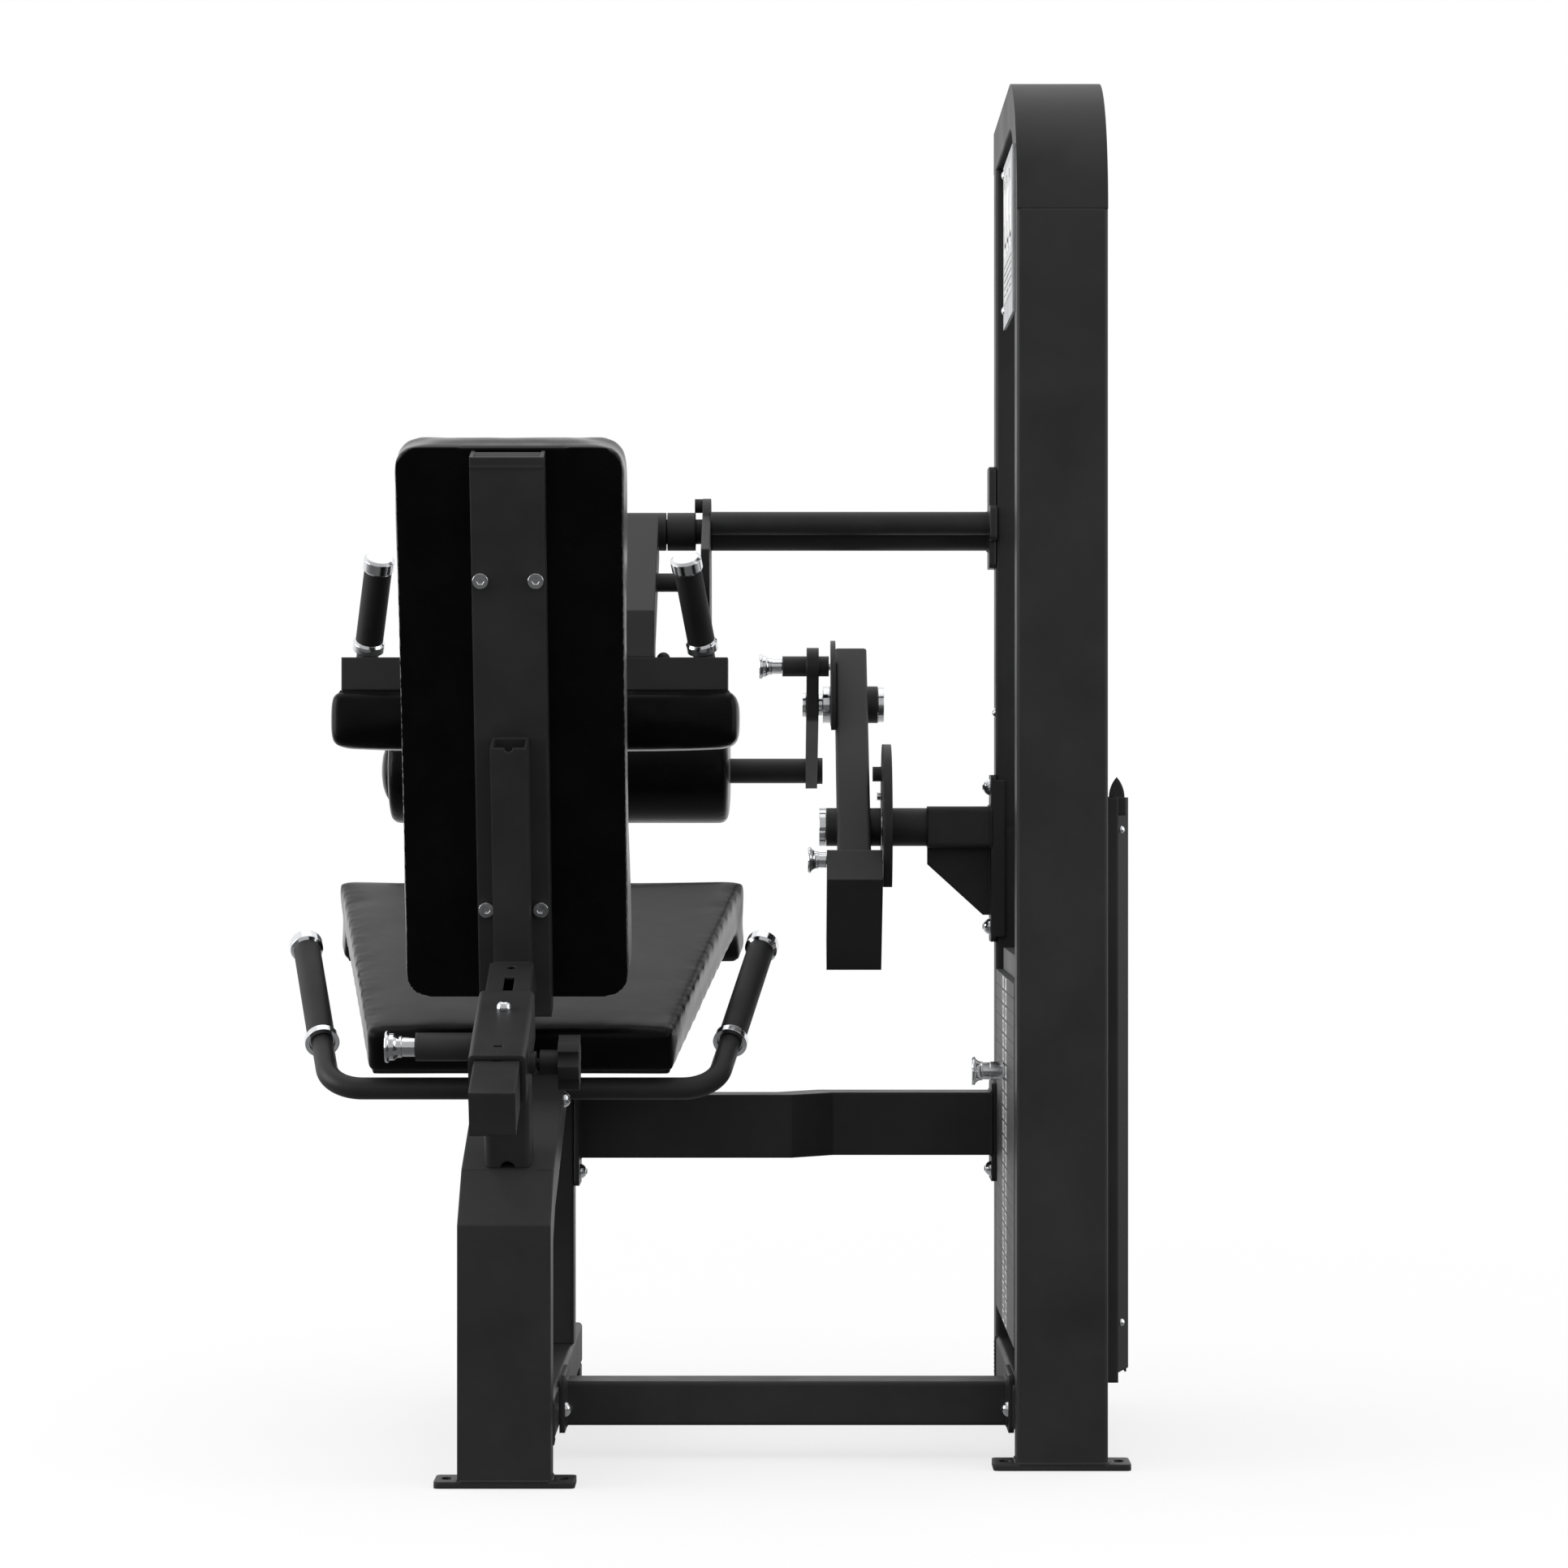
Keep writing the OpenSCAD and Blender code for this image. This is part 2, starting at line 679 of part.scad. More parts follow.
// Side view of the bent top tube, drawn in by t on all faces and longer by e at its ends
module top_outline(t, e) {
  difference() {
    intersection() {
      translate([near_y + bend_r, tower_h - bend_r]) circle(bend_r - t);
      translate([near_y, tower_h - bend_r]) square(bend_r);
    }
    translate([near_y + bend_r, tower_h - bend_r]) circle(bend_r - tube_d + t);
  }
  translate([near_y + bend_r, top_in + t]) square([top_end - near_y - bend_r + e, tube_d - 2 * t]);
  if (e > 0) translate([near_y + t, tower_h - bend_r - e]) square([tube_d - 2 * t, e]);
}

module tower_top_tube() {
  color(steel) placed() translate([tower_x, 0, 0]) difference() {
    side(tube_w) top_outline(0, 0);
    side(tube_w - 2 * wall) top_outline(wall, 2);
    // Slot for the front pulley and its cable
    translate([-pulley_w / 2 - 4, front_pulley_y - pulley_r - 12, top_in - eps])
      cube([pulley_w + 8, 2 * pulley_r + 24, wall + 2 * eps]);
  }
}

module tower_far_upright() {
  color(steel) placed() difference() {
    translate([tower_x, far_y + tube_d / 2, 0]) upright(foot_t, top_in);
    bar_x(tower_left - eps, tube_w + 2 * eps, pivot, shaft_d + 8);
  }
  // Bearing bushes in the two walls
  color(steel) placed() for (x = [tower_left, tower_right - 12]) difference() {
    bar_x(x, 12, pivot, shaft_d + 8);
    bar_x(x - eps, 12 + 2 * eps, pivot, shaft_d + 2 * run_gap);
  }
}

module tower_base_beam() {
  color(steel) placed() translate([tower_x, 0, base_z + base_h / 2])
    beam_y(near_y + tube_d, far_y, tube_w, base_h, tube_r, wall);
}

module tower_feet() {
  color(steel) placed() for (y = [near_y, far_y])
    translate([tower_x, y + foot_d / 2 - 1, 0]) foot_plate();
}

function rod_y(s) = stack_y + s * rod_span / 2;

module guide_rods() {
  color(chrome) placed() for (s = [-1, 1]) {
    translate([tower_x, rod_y(s), base_top]) cylinder(h = top_in - base_top, d = rod_d);
    // Collar that holds the rod to the base beam
    translate([tower_x, rod_y(s), base_top]) cylinder(h = 12, d = rod_d + 14);
  }
}

module rubber_bumpers() {
  color(rubber) placed() {
    for (s = [-1, 1]) translate([tower_x, rod_y(s), base_top + 12]) difference() {
      cylinder(h = stack_z - base_top - 12.3, d = rod_d + 26);
      translate([0, 0, -eps]) cylinder(h = stack_z, d = rod_d + 0.2);
    }
    // Stop of the hold-down arm on its sector
    bar_x(sector_x - 10, 10, hub + [14, 32], 17);
  }
}

// One weight plate, its underside at Z = 0
module weight_plate(pin) {
  difference() {
    translate([-plate_w / 2, -plate_len / 2, 0]) cube([plate_w, plate_len, plate_t]);
    for (s = [-1, 1]) translate([0, s * rod_span / 2, -eps]) cylinder(h = plate_t + 2 * eps, d = rod_hole);
    translate([0, 0, -eps]) cylinder(h = plate_t + 2 * eps, d = stem_hole);
    translate([-plate_w / 2 - eps, 0, plate_t / 2]) rotate([0, 90, 0]) cylinder(h = plate_w / 2, d = pin_hole);
  }
}

module resting_plates() {
  color(plate_grey) placed() for (i = [0:plates_down - 1])
    translate([tower_x, stack_y, stack_z + i * plate_pitch]) weight_plate();
}

module selected_plates() {
  color(plate_grey) placed() for (i = [0:plates_up - 1])
    translate([tower_x, stack_y, lift_z + i * plate_pitch]) weight_plate();
}

module head_plate() {
  color(steel) placed() translate([tower_x, stack_y, head_z]) difference() {
    union() {
      translate([-plate_w / 2 + 8, -plate_len / 2 + 20, 0]) cube([plate_w - 16, plate_len - 40, head_t]);
      for (s = [-1, 1]) translate([0, s * rod_span / 2, head_t]) cylinder(h = 22, d = rod_d + 16);
      translate([0, 0, -(plates_up + plates_down) * plate_pitch + 6])
        cylinder(h = (plates_up + plates_down) * plate_pitch - 6, d = stem_d);
      translate([0, 0, head_t]) cylinder(h = 12, d = 34);
    }
    for (s = [-1, 1]) translate([0, s * rod_span / 2, -eps])
      cylinder(h = head_t + 40, d = rod_d + 2 * run_gap);
    // Cross holes for the selector pin
    for (i = [0:plates_up + plates_down - 2])
      translate([-stem_d, 0, -(plates_up - i) * plate_pitch + plate_t / 2])
        if (i < plates_up) rotate([0, 90, 0]) cylinder(h = 2 * stem_d, d = 10.1);
  }
}

module selector_pin() {
  color(chrome) placed() translate([0, stack_y, pin_plate_z]) {
    bar_x(tower_left - 16, tube_w / 2 + 16 + 8, [0, 0], 10);
    bar_x(tower_left - 17, 16, [0, 0], 21.6);
    translate([tower_left - 16, 0, 0]) pull_knob(33, 22);
  }
}

module stack_shield() {
  outline = [[tower_right, shield_y], [tower_right + 14, shield_y], [tower_right + 14, shield_y + 44],
    [tower_right + shield_out, shield_y + 64], [tower_right + shield_out, far_y - 5], [tower_right, far_y - 5]];
  color(steel) placed() {
    difference() {
      translate([0, 0, shield_z]) linear_extrude(shield_h) polygon(band(outline, -shield_t));
      // Room for the cam behind the sheet
      translate([tower_right - eps, far_y - 12, shield_cam_z]) cube([shield_out - shield_t + eps, 20, shield_h]);
      translate([tower_right + 14.5, shield_y + 30, shield_z - eps]) rotate([14, 0, 0])
        translate([0, 0, -20]) cube([shield_out, 60, 20 + eps]);
    }
    // Pointed tongue above the shield
    r = 34;
    w = 17.5;
    translate([tower_right + 7 + w / 2, shield_y + 46, shield_z + shield_h]) rotate([90, 0, 0])
      linear_extrude(2, center = true) intersection() {
        translate([r - w / 2, 0]) circle(r);
        translate([w / 2 - r, 0]) circle(r);
        translate([-w, 0]) square([2 * w, r]);
      }
    translate([tower_right + 14 - 2, shield_y + 44, shield_z + shield_h - 20])
      cube([14, 3, 20]);
  }
}

// Exercise placard on the left faces of the upright and of the bent tube
module placard() {
  color([0.62, 0.63, 0.64]) placed() translate([tower_left - placard_t, near_y + tube_d - 12, placard_z])
    cube([placard_t, placard_len, placard_h]);
}

module flange(x, y0, y1, z0, z1, t) {
  translate([x, (y0 + y1) / 2, (z0 + z1) / 2]) rotate([90, 0, 90])
    linear_extrude(t) rounded(y1 - y0, z1 - z0, 6);
}

cross_t = 6;
low_y = 202;
low_d = 53;
module lower_crossbeam() {
  color(steel) placed() {
    translate([0, low_y + low_d / 2, 62]) beam_x(tube_w / 2 + cross_t, tower_left - cross_t, low_d, 49, 4, wall);
    for (x = [tube_w / 2, tower_left - cross_t])
      flange(x, low_y - 24, low_y + low_d + 24, 32, 96, cross_t);
  }
}

up_z = 307;
up_h = 75;
up_y = leg_y + 20;
up_d = 50;
up_jog = 40;
up_jog_x = 308;
module upper_crossbeam() {
  x0 = tube_w / 2 + cross_t;
  x1 = tower_left - cross_t;
  path = [[x0, up_y], [up_jog_x, up_y], [up_jog_x + 50, up_y + up_jog], [x1, up_y + up_jog]];
  inner = [for (i = [0:3]) shifted(path, i, -wall)];
  color(steel) placed() {
    translate([0, 0, up_z]) difference() {
      linear_extrude(up_h) polygon(band(path, -up_d));
      translate([0, 0, wall]) linear_extrude(up_h - 2 * wall) polygon(band(inner, -up_d + 2 * wall));
    }
    flange(tube_w / 2, leg_y, up_y + up_d, 275, 393, cross_t);
    flange(tower_left - cross_t, up_y + up_jog, far_y + tube_d, 275, 393, cross_t);
  }
}

// A domed bolt head on the face at x, turned outwards by s
module side_bolt(x, y, z, s, d, h) {
  translate([x, y, z]) rotate([0, s * 90, 0]) dome(d, h);
}

module frame_bolts() {
  color(chrome) placed() {
    for (s = [-1, 1]) side_bolt(s * tube_w / 2, 280, 395, s, 18, 8);
    for (y = [low_y - 12, low_y + low_d + 12]) {
      side_bolt(tube_w / 2 + cross_t, y, 58, 1, 18, 8);
      side_bolt(tower_left - cross_t, y, 58, -1, 18, 8);
    }
    side_bolt(tube_w / 2 + cross_t, up_y + 14, 290, 1, 18, 8);
    side_bolt(tower_left - cross_t, up_y + up_jog + 14, 290, -1, 18, 8);
    for (z = [580, 748]) side_bolt(tower_left - bracket_t, pivot_y, z, -1, 20, 9);
    side_bolt(tower_left, far_y + 12, 838, -1, 12, 4);
    // Screws of the shield and the placard
    for (z = [shield_z + 60, shield_z + shield_h - 36])
      translate([tower_right + 22, shield_y + 54, z]) rotate([0, 0, -atan2(16, 20)]) rotate([0, 90, 0]) dome(9, 3);
    for (z = [21, placard_h - 10]) side_bolt(tower_left - placard_t, near_y + tube_d + placard_len - 24, placard_z + z, -1, 10, 3);
    // Bolt on top of the sleeve
    on_rail() translate([0, sleeve_bolt_at, rail_gap + sleeve_wall]) dome(16, 9);
  }
}

bracket_t = 6;
module pivot_bracket() {
  color(steel) placed() {
    difference() {
      union() {
        // Plate on the side of the upright, wrapped round its near corner
        flange(tower_left - bracket_t, far_y - 5, far_y + tube_d, 562, 763, bracket_t);
        translate([tower_left - eps, far_y - 5, 568]) cube([12, 5, 189]);
        translate([0, pivot_y, pivot_z])
          beam_x(bracket_x, tower_left - bracket_t, 50, 50, 6, 4);
        translate([bracket_x, pivot_y, pivot_z]) rotate([90, 0, 90]) linear_extrude(5) rounded(49, 49, 6);
      }
      bar_x(bracket_x - eps, 150, pivot, shaft_d + 6);
    }
    // Gusset under the tube
    translate([0, pivot_y + 5, 0]) rotate([90, 0, 0]) linear_extrude(10)
      polygon([[bracket_x, pivot_z - 25], [tower_left - bracket_t, pivot_z - 25],
        [tower_left - bracket_t, 594], [tower_left - bracket_t - 9, 594], [bracket_x, 655]]);
  }
}

module bearing_housing() {
  color(steel) placed() difference() {
    bar_x(housing_x, housing_len, pivot, boss_d);
    bar_x(housing_x - eps, housing_len + 2 * eps, pivot, shaft_d + 2 * run_gap);
  }
}

hold_bar_x = sector_x + sector_t;
module hold_crossbars() {
  color(steel) placed() {
    difference() {
      bar_x(hold_bar_x, tower_left - 8 - hold_bar_x, hub, hub_d);
      bar_x(hold_bar_x + 20, tower_left - hold_bar_x - 40, hub, hub_d - 8);
    }
    bar_x(hold_bar_x, tower_left - 8 - hold_bar_x, hub + [-35, 8], 28);
    flange(tower_left - 8, far_y, far_y + tube_d, 1012, 1134, 8);
    flange(tower_left - 8, far_y - 28, far_y + 4, 1044, 1086, 8);
    // Stub shaft with its end cap, and the set collar
    bar_x(arm_left - 8, hold_bar_x - arm_left + 8, hub, stub_shaft_d);
    bar_x(arm_left - 12, 4, hub, hub_d - 4);
    difference() {
      bar_x(arm_right + boss_len + washer_t, collar_len, hub, hub_d);
      translate([arm_right + boss_len + 18, hub_y, hub_z + 18]) cylinder(h = 10, d = 7);
    }
  }
}

// Sector plate with the holes for the hold-down pin
module hold_sector() {
  color(steel) placed() difference() {
    side_at(sector_x, sector_t) difference() {
      union() {
        translate(hub) circle(40);
        intersection() {
          translate(hub) circle(sector_r);
          polygon([hub + polar(30, hold_pin_a - 90 - 14), hub + polar(300, hold_pin_a - 16),
            hub + polar(300, hold_pin_a + 20), hub + polar(300, hold_pin_a + 52),
            hub + polar(300, hold_pin_a + 72), hub + polar(30, hold_pin_a + 140)]);
        }
      }
      for (k = [0:4]) translate(hub + polar(hold_pin_r, hold_pin_a + 13 * k)) circle(d = 12);
    }
    bar_x(sector_x - eps, sector_t + 2 * eps, hub, stub_shaft_d + 0.1);
  }
}

module pulley_brackets() {
  color(steel) placed() {
    for (s = [-1, 1]) {
      // Cheeks behind the top tube for the rear pulley
      side_at(tower_x + s * (pulley_w / 2 + 4) - 2, 4) polygon([[top_end, top_in + 4], [top_end, tower_h - 4],
        [rear_pulley_y + 10, tower_h - 12], [rear_pulley_y + 22, pulley_z - 14],
        [rear_pulley_y - 14, pulley_z - 14]]);
      // Hangers under the top tube for the front pulley
      side_at(tower_x + s * (pulley_w / 2 + 6) - 2, 4) polygon([[front_pulley_y - 20, top_in],
        [front_pulley_y + 20, top_in], [front_pulley_y + 14, pulley_z - 18], [front_pulley_y - 14, pulley_z - 18]]);
    }
    bar_x(tower_x - pulley_w / 2 - 8, pulley_w + 16, [rear_pulley_y, pulley_z], 12);
    bar_x(tower_x - pulley_w / 2 - 10, pulley_w + 20, [front_pulley_y, pulley_z], 12);
  }
}

module stack_cable() {
  color(rubber) placed() translate([tower_x, stack_y, head_top + 12.3])
    cylinder(h = pulley_z - head_top - 12.3, d = cable_d);
}

module drive_cable() {
  lean = atan2(cam_x + cam_t / 2 - tower_x, pulley_z - pivot_z);
  run = norm([cam_x + cam_t / 2 - tower_x, pulley_z - pivot_z]);
  color(rubber) placed() {
    for (s = [0, 1]) translate([tower_x, s == 0 ? rear_pulley_y : front_pulley_y, pulley_z]) mirror([0, s, 0])
      rotate([90, 0, 90]) rotate_extrude(angle = 90) translate([pulley_r, 0]) circle(d = cable_d);
    translate([tower_x, front_pulley_y, cable_run_z]) rotate([-90, 0, 0])
      cylinder(h = rear_pulley_y - front_pulley_y, d = cable_d);
    translate([tower_x, rear_cable_y, pulley_z]) rotate([0, 180 - lean, 0]) cylinder(h = run + 5, d = cable_d);
  }
}

module pulley(y) {
  color(steel) placed() translate([tower_x - pulley_w / 2, y, pulley_z]) rotate([0, 90, 0]) difference() {
    rotate_extrude() difference() {
      square([pulley_r + 4, pulley_w]);
      // Groove with room for the cable that leaves the pulley at a lean
      translate([pulley_r + 1.4, pulley_w / 2]) circle(d = cable_d + 3);
      translate([pulley_r + 1.4, pulley_w / 2 - cable_d / 2 - 1.5]) square([6, cable_d + 3]);
      translate([18, -eps]) square([pulley_r - 28, 3 + eps]);
      translate([18, pulley_w - 3]) square([pulley_r - 28, 3 + eps]);
    }
    translate([0, 0, -eps]) cylinder(h = pulley_w + 2 * eps, d = 12 + 2 * run_gap);
  }
}

module front_pulley() { pulley(front_pulley_y); }
module rear_pulley() { pulley(rear_pulley_y); }

// Back rail and the upright that it turns into
back_path = [rail_rear, rail_corner, rail_corner + rail_rise * lean_dir];
module back_rail() {
  color(steel) placed() {
    difference() {
      union() {
        mitred(back_path, 0, 1, rail_w, rail_w, wall, -wall, -wall);
        mitred(back_path, 1, 2, rail_w, upright_w, wall, -wall, 2);
      }
      on_rail() translate([-rail_slot_w / 2, rail_slot_from, -8]) cube([rail_slot_w, rail_slot_len, 20]);
      on_rail() translate([0, rail_slot_from + rail_slot_len + 28, -8]) cylinder(h = 20, d = 10);
      // Holes for the pop pin
      for (k = [0:6]) on_rail() translate([-rail_w, plunger_at - 2 * 25 - 40 + 25 * k, -rail_w / 2])
        rotate([0, 90, 0]) cylinder(h = rail_w, d = 12);
      // Notch in the upper end
      on_back() translate([0, -2, rail_rise]) rotate([-90, 0, 0]) cylinder(h = 12, d = 9);
    }
  }
}

chan_t = 4;
module back_channel() {
  color(steel) placed() on_back() difference() {
    translate([0, rail_w + 0.01, chan_low]) {
      difference() {
        linear_extrude(back_len - 2) union() {
          translate([-chan_w / 2, 0]) square([chan_w, chan_t]);
          for (s = [-1, 1]) translate([s * (chan_w - chan_t) / 2 - chan_t / 2, 0]) square([chan_t, chan_d]);
        }
      }
      // Folded lip at the top and the web at the foot
      translate([-chan_w / 2, 0, back_len - 16]) rotate([18, 0, 0]) cube([chan_w, chan_d - 6, chan_t]);
    }
    for (z = bolt_rows) for (s = [-1, 1]) translate([s * bolt_out, rail_w - eps, z]) rotate([-90, 0, 0])
      cylinder(h = chan_t + 2 * eps, d = 9);
  }
}

bolt_rows = [48, 420];
bolt_head = 17;
// The bolts stand just beside the upright
bolt_out = upright_w / 2 + bolt_head / 2 + 1.5;
module back_bolts() {
  color(chrome) placed() on_back() for (z = bolt_rows) for (s = [-1, 1])
    translate([s * bolt_out, rail_w + 0.01, z]) rotate([-90, 0, 0]) {
      translate([0, 0, -7]) difference() {
        cylinder(h = 7, d = bolt_head);
        translate([0, 0, -eps]) cylinder(h = 4, d = 8, $fn = 6);
      }
      cylinder(h = chan_d - 0.3, d = 8);
    }
}

// Back cushion: rings from its flat rear face, round the edge, to the crowned front
module back_pad() {
  crown = 8;
  edge = 14;
  pull = 2;
  function pad_ring(inset, depth) =
    [for (p = ring_of(back_w / 2 - inset, back_len / 2 - inset, max(6, back_corner - inset), 5, 3, 8))
      [p[0], depth, p[1]]];
  sides = [pad_ring(3, 0), pad_ring(0.8, 0.9), pad_ring(0, 3), pad_ring(pull, back_t / 3),
    pad_ring(pull, back_t * 0.55), pad_ring(0, back_t - edge)];
  lip = [for (t = [60, 30, 0]) let (e = round_in(edge, t)) pad_ring(e[0], back_t - e[1])];
  front = [pad_ring(32, back_t + crown * 0.45), pad_ring(60, back_t + crown * 0.8), pad_ring(95, back_t + crown)];
  color(vinyl) placed() on_back()
    translate([0, rail_w + chan_d + seat_gap, chan_low + back_len / 2 + 6])
      mirror([1, 0, 0]) skin(concat(sides, lip, front));
}

module back_plunger() {
  color(chrome) placed() on_rail() {
    bar_x(-sleeve_out / 2 - 66, 66 + sleeve_wall - 1, [plunger_at, -rail_w / 2], 12);
    translate([-sleeve_out / 2 - 62.5, plunger_at, -rail_w / 2]) pull_knob(34, 32);
  }
}

module clamp_knob() {
  color(rubber) placed() on_rail() translate([sleeve_out / 2 + 12, clamp_at, -rail_w / 2]) rotate([0, 90, 0]) {
    translate([0, 0, -12 - sleeve_wall + 0.5]) cylinder(h = 12 + sleeve_wall, d = 10);
    cylinder(h = 20, d = 27);
    // Six-lobed star head
    translate([0, 0, 20]) linear_extrude(22) difference() {
      circle(29);
      for (k = [0:5]) rotate(60 * k) translate([34, 0]) circle(10);
    }
  }
}

arm_tail = -12;
arm_path = [[chan2_y, chan2_top], arm_bend, hub + arm_tail * arm_dir + arm_d / 2 * arm_nrm];
module hold_arm() {
  p = hub + polar(hold_pin_r, hold_pin_a);
  color(steel) placed() difference() {
    union() {
      translate([arm_left + arm_w / 2, 0, 0]) intersection() {
        mitred(arm_path, 0, 2, arm_d, arm_w, wall, 2, -wall);
        translate([-arm_w, chan2_y - 30, chan2_top]) cube([2 * arm_w, 400, 400]);
      }
      bar_x(arm_left, arm_w + boss_len, hub, hub_d);
      // Barrel of the pop pin, welded to the side of the arm
      bar_x(arm_right, sector_x - arm_right - 1, p, 22);
    }
    bar_x(arm_left - eps, 2 * arm_w, hub, stub_shaft_d + 2 * run_gap);
    bar_x(arm_left - 20, sector_x - arm_left + 40, p, 10.1);
  }
}

// Channel of the thigh pad with the two grip posts
module hold_channel() {
  color(steel) placed() {
    difference() {
      translate([hold_x - chan2_w / 2, chan2_y, chan2_top - chan2_h]) difference() {
        cube([chan2_w, chan2_d, chan2_h]);
        translate([chan2_wall, chan2_wall, -eps])
          cube([chan2_w - 2 * chan2_wall, chan2_d - 2 * chan2_wall, chan2_h - chan2_wall + eps]);
      }
    }
    intersection() {
      for (s = [-1, 1]) at_hold_post(s)
        translate([0, 0, -20]) cylinder(h = 20 + hold_ring_at + hold_grip_len + cap_len - 6, d = bar_d);
      translate([-400, 0, chan2_top]) cube([900, 900, 400]);
    }
    translate([158, chan2_y + 40, chan2_top]) dome(16, 7);
  }
}

module hold_grips() {
  color(rubber) placed() for (s = [-1, 1]) at_hold_post(s) translate([0, 0, hold_ring_at]) grip_body(hold_grip_len);
}

module hold_grip_rings() {
  color(chrome) placed() for (s = [-1, 1]) at_hold_post(s) translate([0, 0, hold_ring_at])
    grip_trim(hold_grip_len, ring_d - 3);
}

// Thigh cushion: rings along its width, its underside crowned
module hold_pad() {
  edge = 12;
  crown = 4;
  half = thigh_w / 2;
  function thigh_ring(x, inset) =
    let (a = thigh_d / 2 - inset, b = thigh_h / 2 - inset, f = x / half)
    [for (p = ring_of(a, b, edge, 3, 4, 1))
      [x, p[0], p[1] - (p[1] < 1 - b ? crown * (1 - pow(f, 4)) * (1 - pow(p[0] / a, 2)) : 0)]];
  ends = [for (t = [0, 30, 60]) round_in(edge, t)];
  rings = concat([for (e = ends) thigh_ring(e[1] - half, e[0])],
    [for (i = [0:10]) thigh_ring((half - edge) * (i / 5 - 1), 0)],
    [for (i = [2:-1:0]) thigh_ring(half - ends[i][1], ends[i][0])]);
  color(vinyl) placed() translate([hold_x, chan2_y + chan2_d / 2, chan2_top - chan2_h - seat_gap - thigh_h / 2])
    skin(rings);
}

module hold_plunger() {
  p = hub + polar(hold_pin_r, hold_pin_a);
  color(chrome) placed() {
    bar_x(arm_left - 18, sector_x - arm_left + 17, p, 10);
    translate([arm_left - 1, p[0], p[1]]) pull_knob(32, 30);
  }
}

module main_shaft() {
  color(chrome) placed() {
    bar_x(lever_x - boss_out - 0.5, cam_x + cam_t + 8 - lever_x + boss_out + 0.5, pivot, shaft_d);
    bar_x(lever_x - boss_out - pivot_cap - 0.5, pivot_cap, pivot, boss_d);
    bar_x(cam_x + cam_t, 6, pivot, boss_d);
    // Bolt beside the stop of the start disc
    bar_x(disc_x - 5.5, 5.5, pivot + [30, 37], 10);
  }
}

// Start disc: a plate with a flat foot and a row of pin holes
module start_disc() {
  color(steel) placed() difference() {
    side_at(disc_x, disc_t) difference() {
      intersection() {
        translate(pivot) circle(disc_r);
        translate(pivot + [-disc_r, -disc_cut]) square([2 * disc_r, disc_r + disc_cut]);
      }
      for (k = [0:8]) translate(pivot + polar(start_pin_r, start_pin_a - 15 * k)) circle(d = 12);
    }
    bar_x(disc_x - eps, disc_t + 2 * eps, pivot, shaft_d + 0.1);
  }
  // Rubber stop
  color(rubber) placed() bar_x(disc_x - 11, 11, pivot + [22, 64], 18);
}

module drive_cam() {
  color(steel) placed() translate([cam_x, pivot_y, pivot_z]) rotate([0, 90, 0]) difference() {
    rotate_extrude() difference() {
      square([cam_r + 3, cam_t]);
      translate([cam_r + 2.2, cam_t / 2]) circle(d = cable_d + 4.6);
      // Flared mouth of the groove, because the cable leans in from the pulley
      polygon([[cam_r + 2.2, cam_t / 2 - cable_d / 2 - 2.3], [cam_r + 5, cam_t / 2 - cable_d / 2 - 3.8],
        [cam_r + 5, cam_t / 2 + cable_d / 2 + 3.8], [cam_r + 2.2, cam_t / 2 + cable_d / 2 + 2.3]]);
      translate([44, -eps]) square([cam_r - 62, 3 + eps]);
      translate([44, cam_t - 3]) square([cam_r - 62, 3 + eps]);
    }
    translate([0, 0, -eps]) cylinder(h = cam_t + 2 * eps, d = shaft_d + 0.1);
  }
}

// Frame of the lever: y' along the lever from the main axis, z' square to it
module on_lever() {
  translate([0, pivot_y, pivot_z]) rotate([lever_a, 0, 0]) children();
}

module lever_arm() {
  color(steel) placed() difference() {
    on_lever() {
      translate([lever_x + lever_w / 2, 0, 0]) {
        beam_y(-cw_from, lever_len - 3, lever_w, lever_d, 4, wall);
        translate([0, lever_len - 3, 0]) rotate([-90, 0, 0]) linear_extrude(3) rounded(lever_w, lever_d, 4);
      }
      bar_x(lever_x - boss_out, lever_w + 2 * boss_out, [0, 0], boss_d);
      bar_x(lever_x, lever_w + boss_out, [link_at, 0], boss_d);
    }
    bar_x(lever_x - boss_out - eps, lever_w + 2 * boss_out + 2 * eps, pivot, shaft_d + 2 * run_gap);
    bar_x(lever_x - eps, lever_w + boss_out + 2 * eps, link_axis, 20 + 2 * run_gap);
    on_lever() translate([lever_x + lever_w / 2, lever_len - 6, 14]) rotate([-90, 0, 0]) cylinder(h = 8, d = 5);
  }
}

module counterweight() {
  color(steel) placed() difference() {
    on_lever() translate([lever_x - boss_out, -cw_from - cw_len, cw_up - cw_h])
      cube([lever_w + 2 * boss_out, cw_len, cw_h]);
    bar_x(lever_x - boss_out - eps, lever_w + 2 * boss_out + 2 * eps, pivot + polar(start_pin_r, start_pin_a), 10.1);
  }
}

module start_plunger() {
  p = pivot + polar(start_pin_r, start_pin_a);
  color(chrome) placed() {
    bar_x(lever_x - boss_out - 4, lever_w + 2 * boss_out + 5, p, 10);
    translate([lever_x - boss_out - 0.5, p[0], p[1]]) pull_knob(31, 22);
  }
}

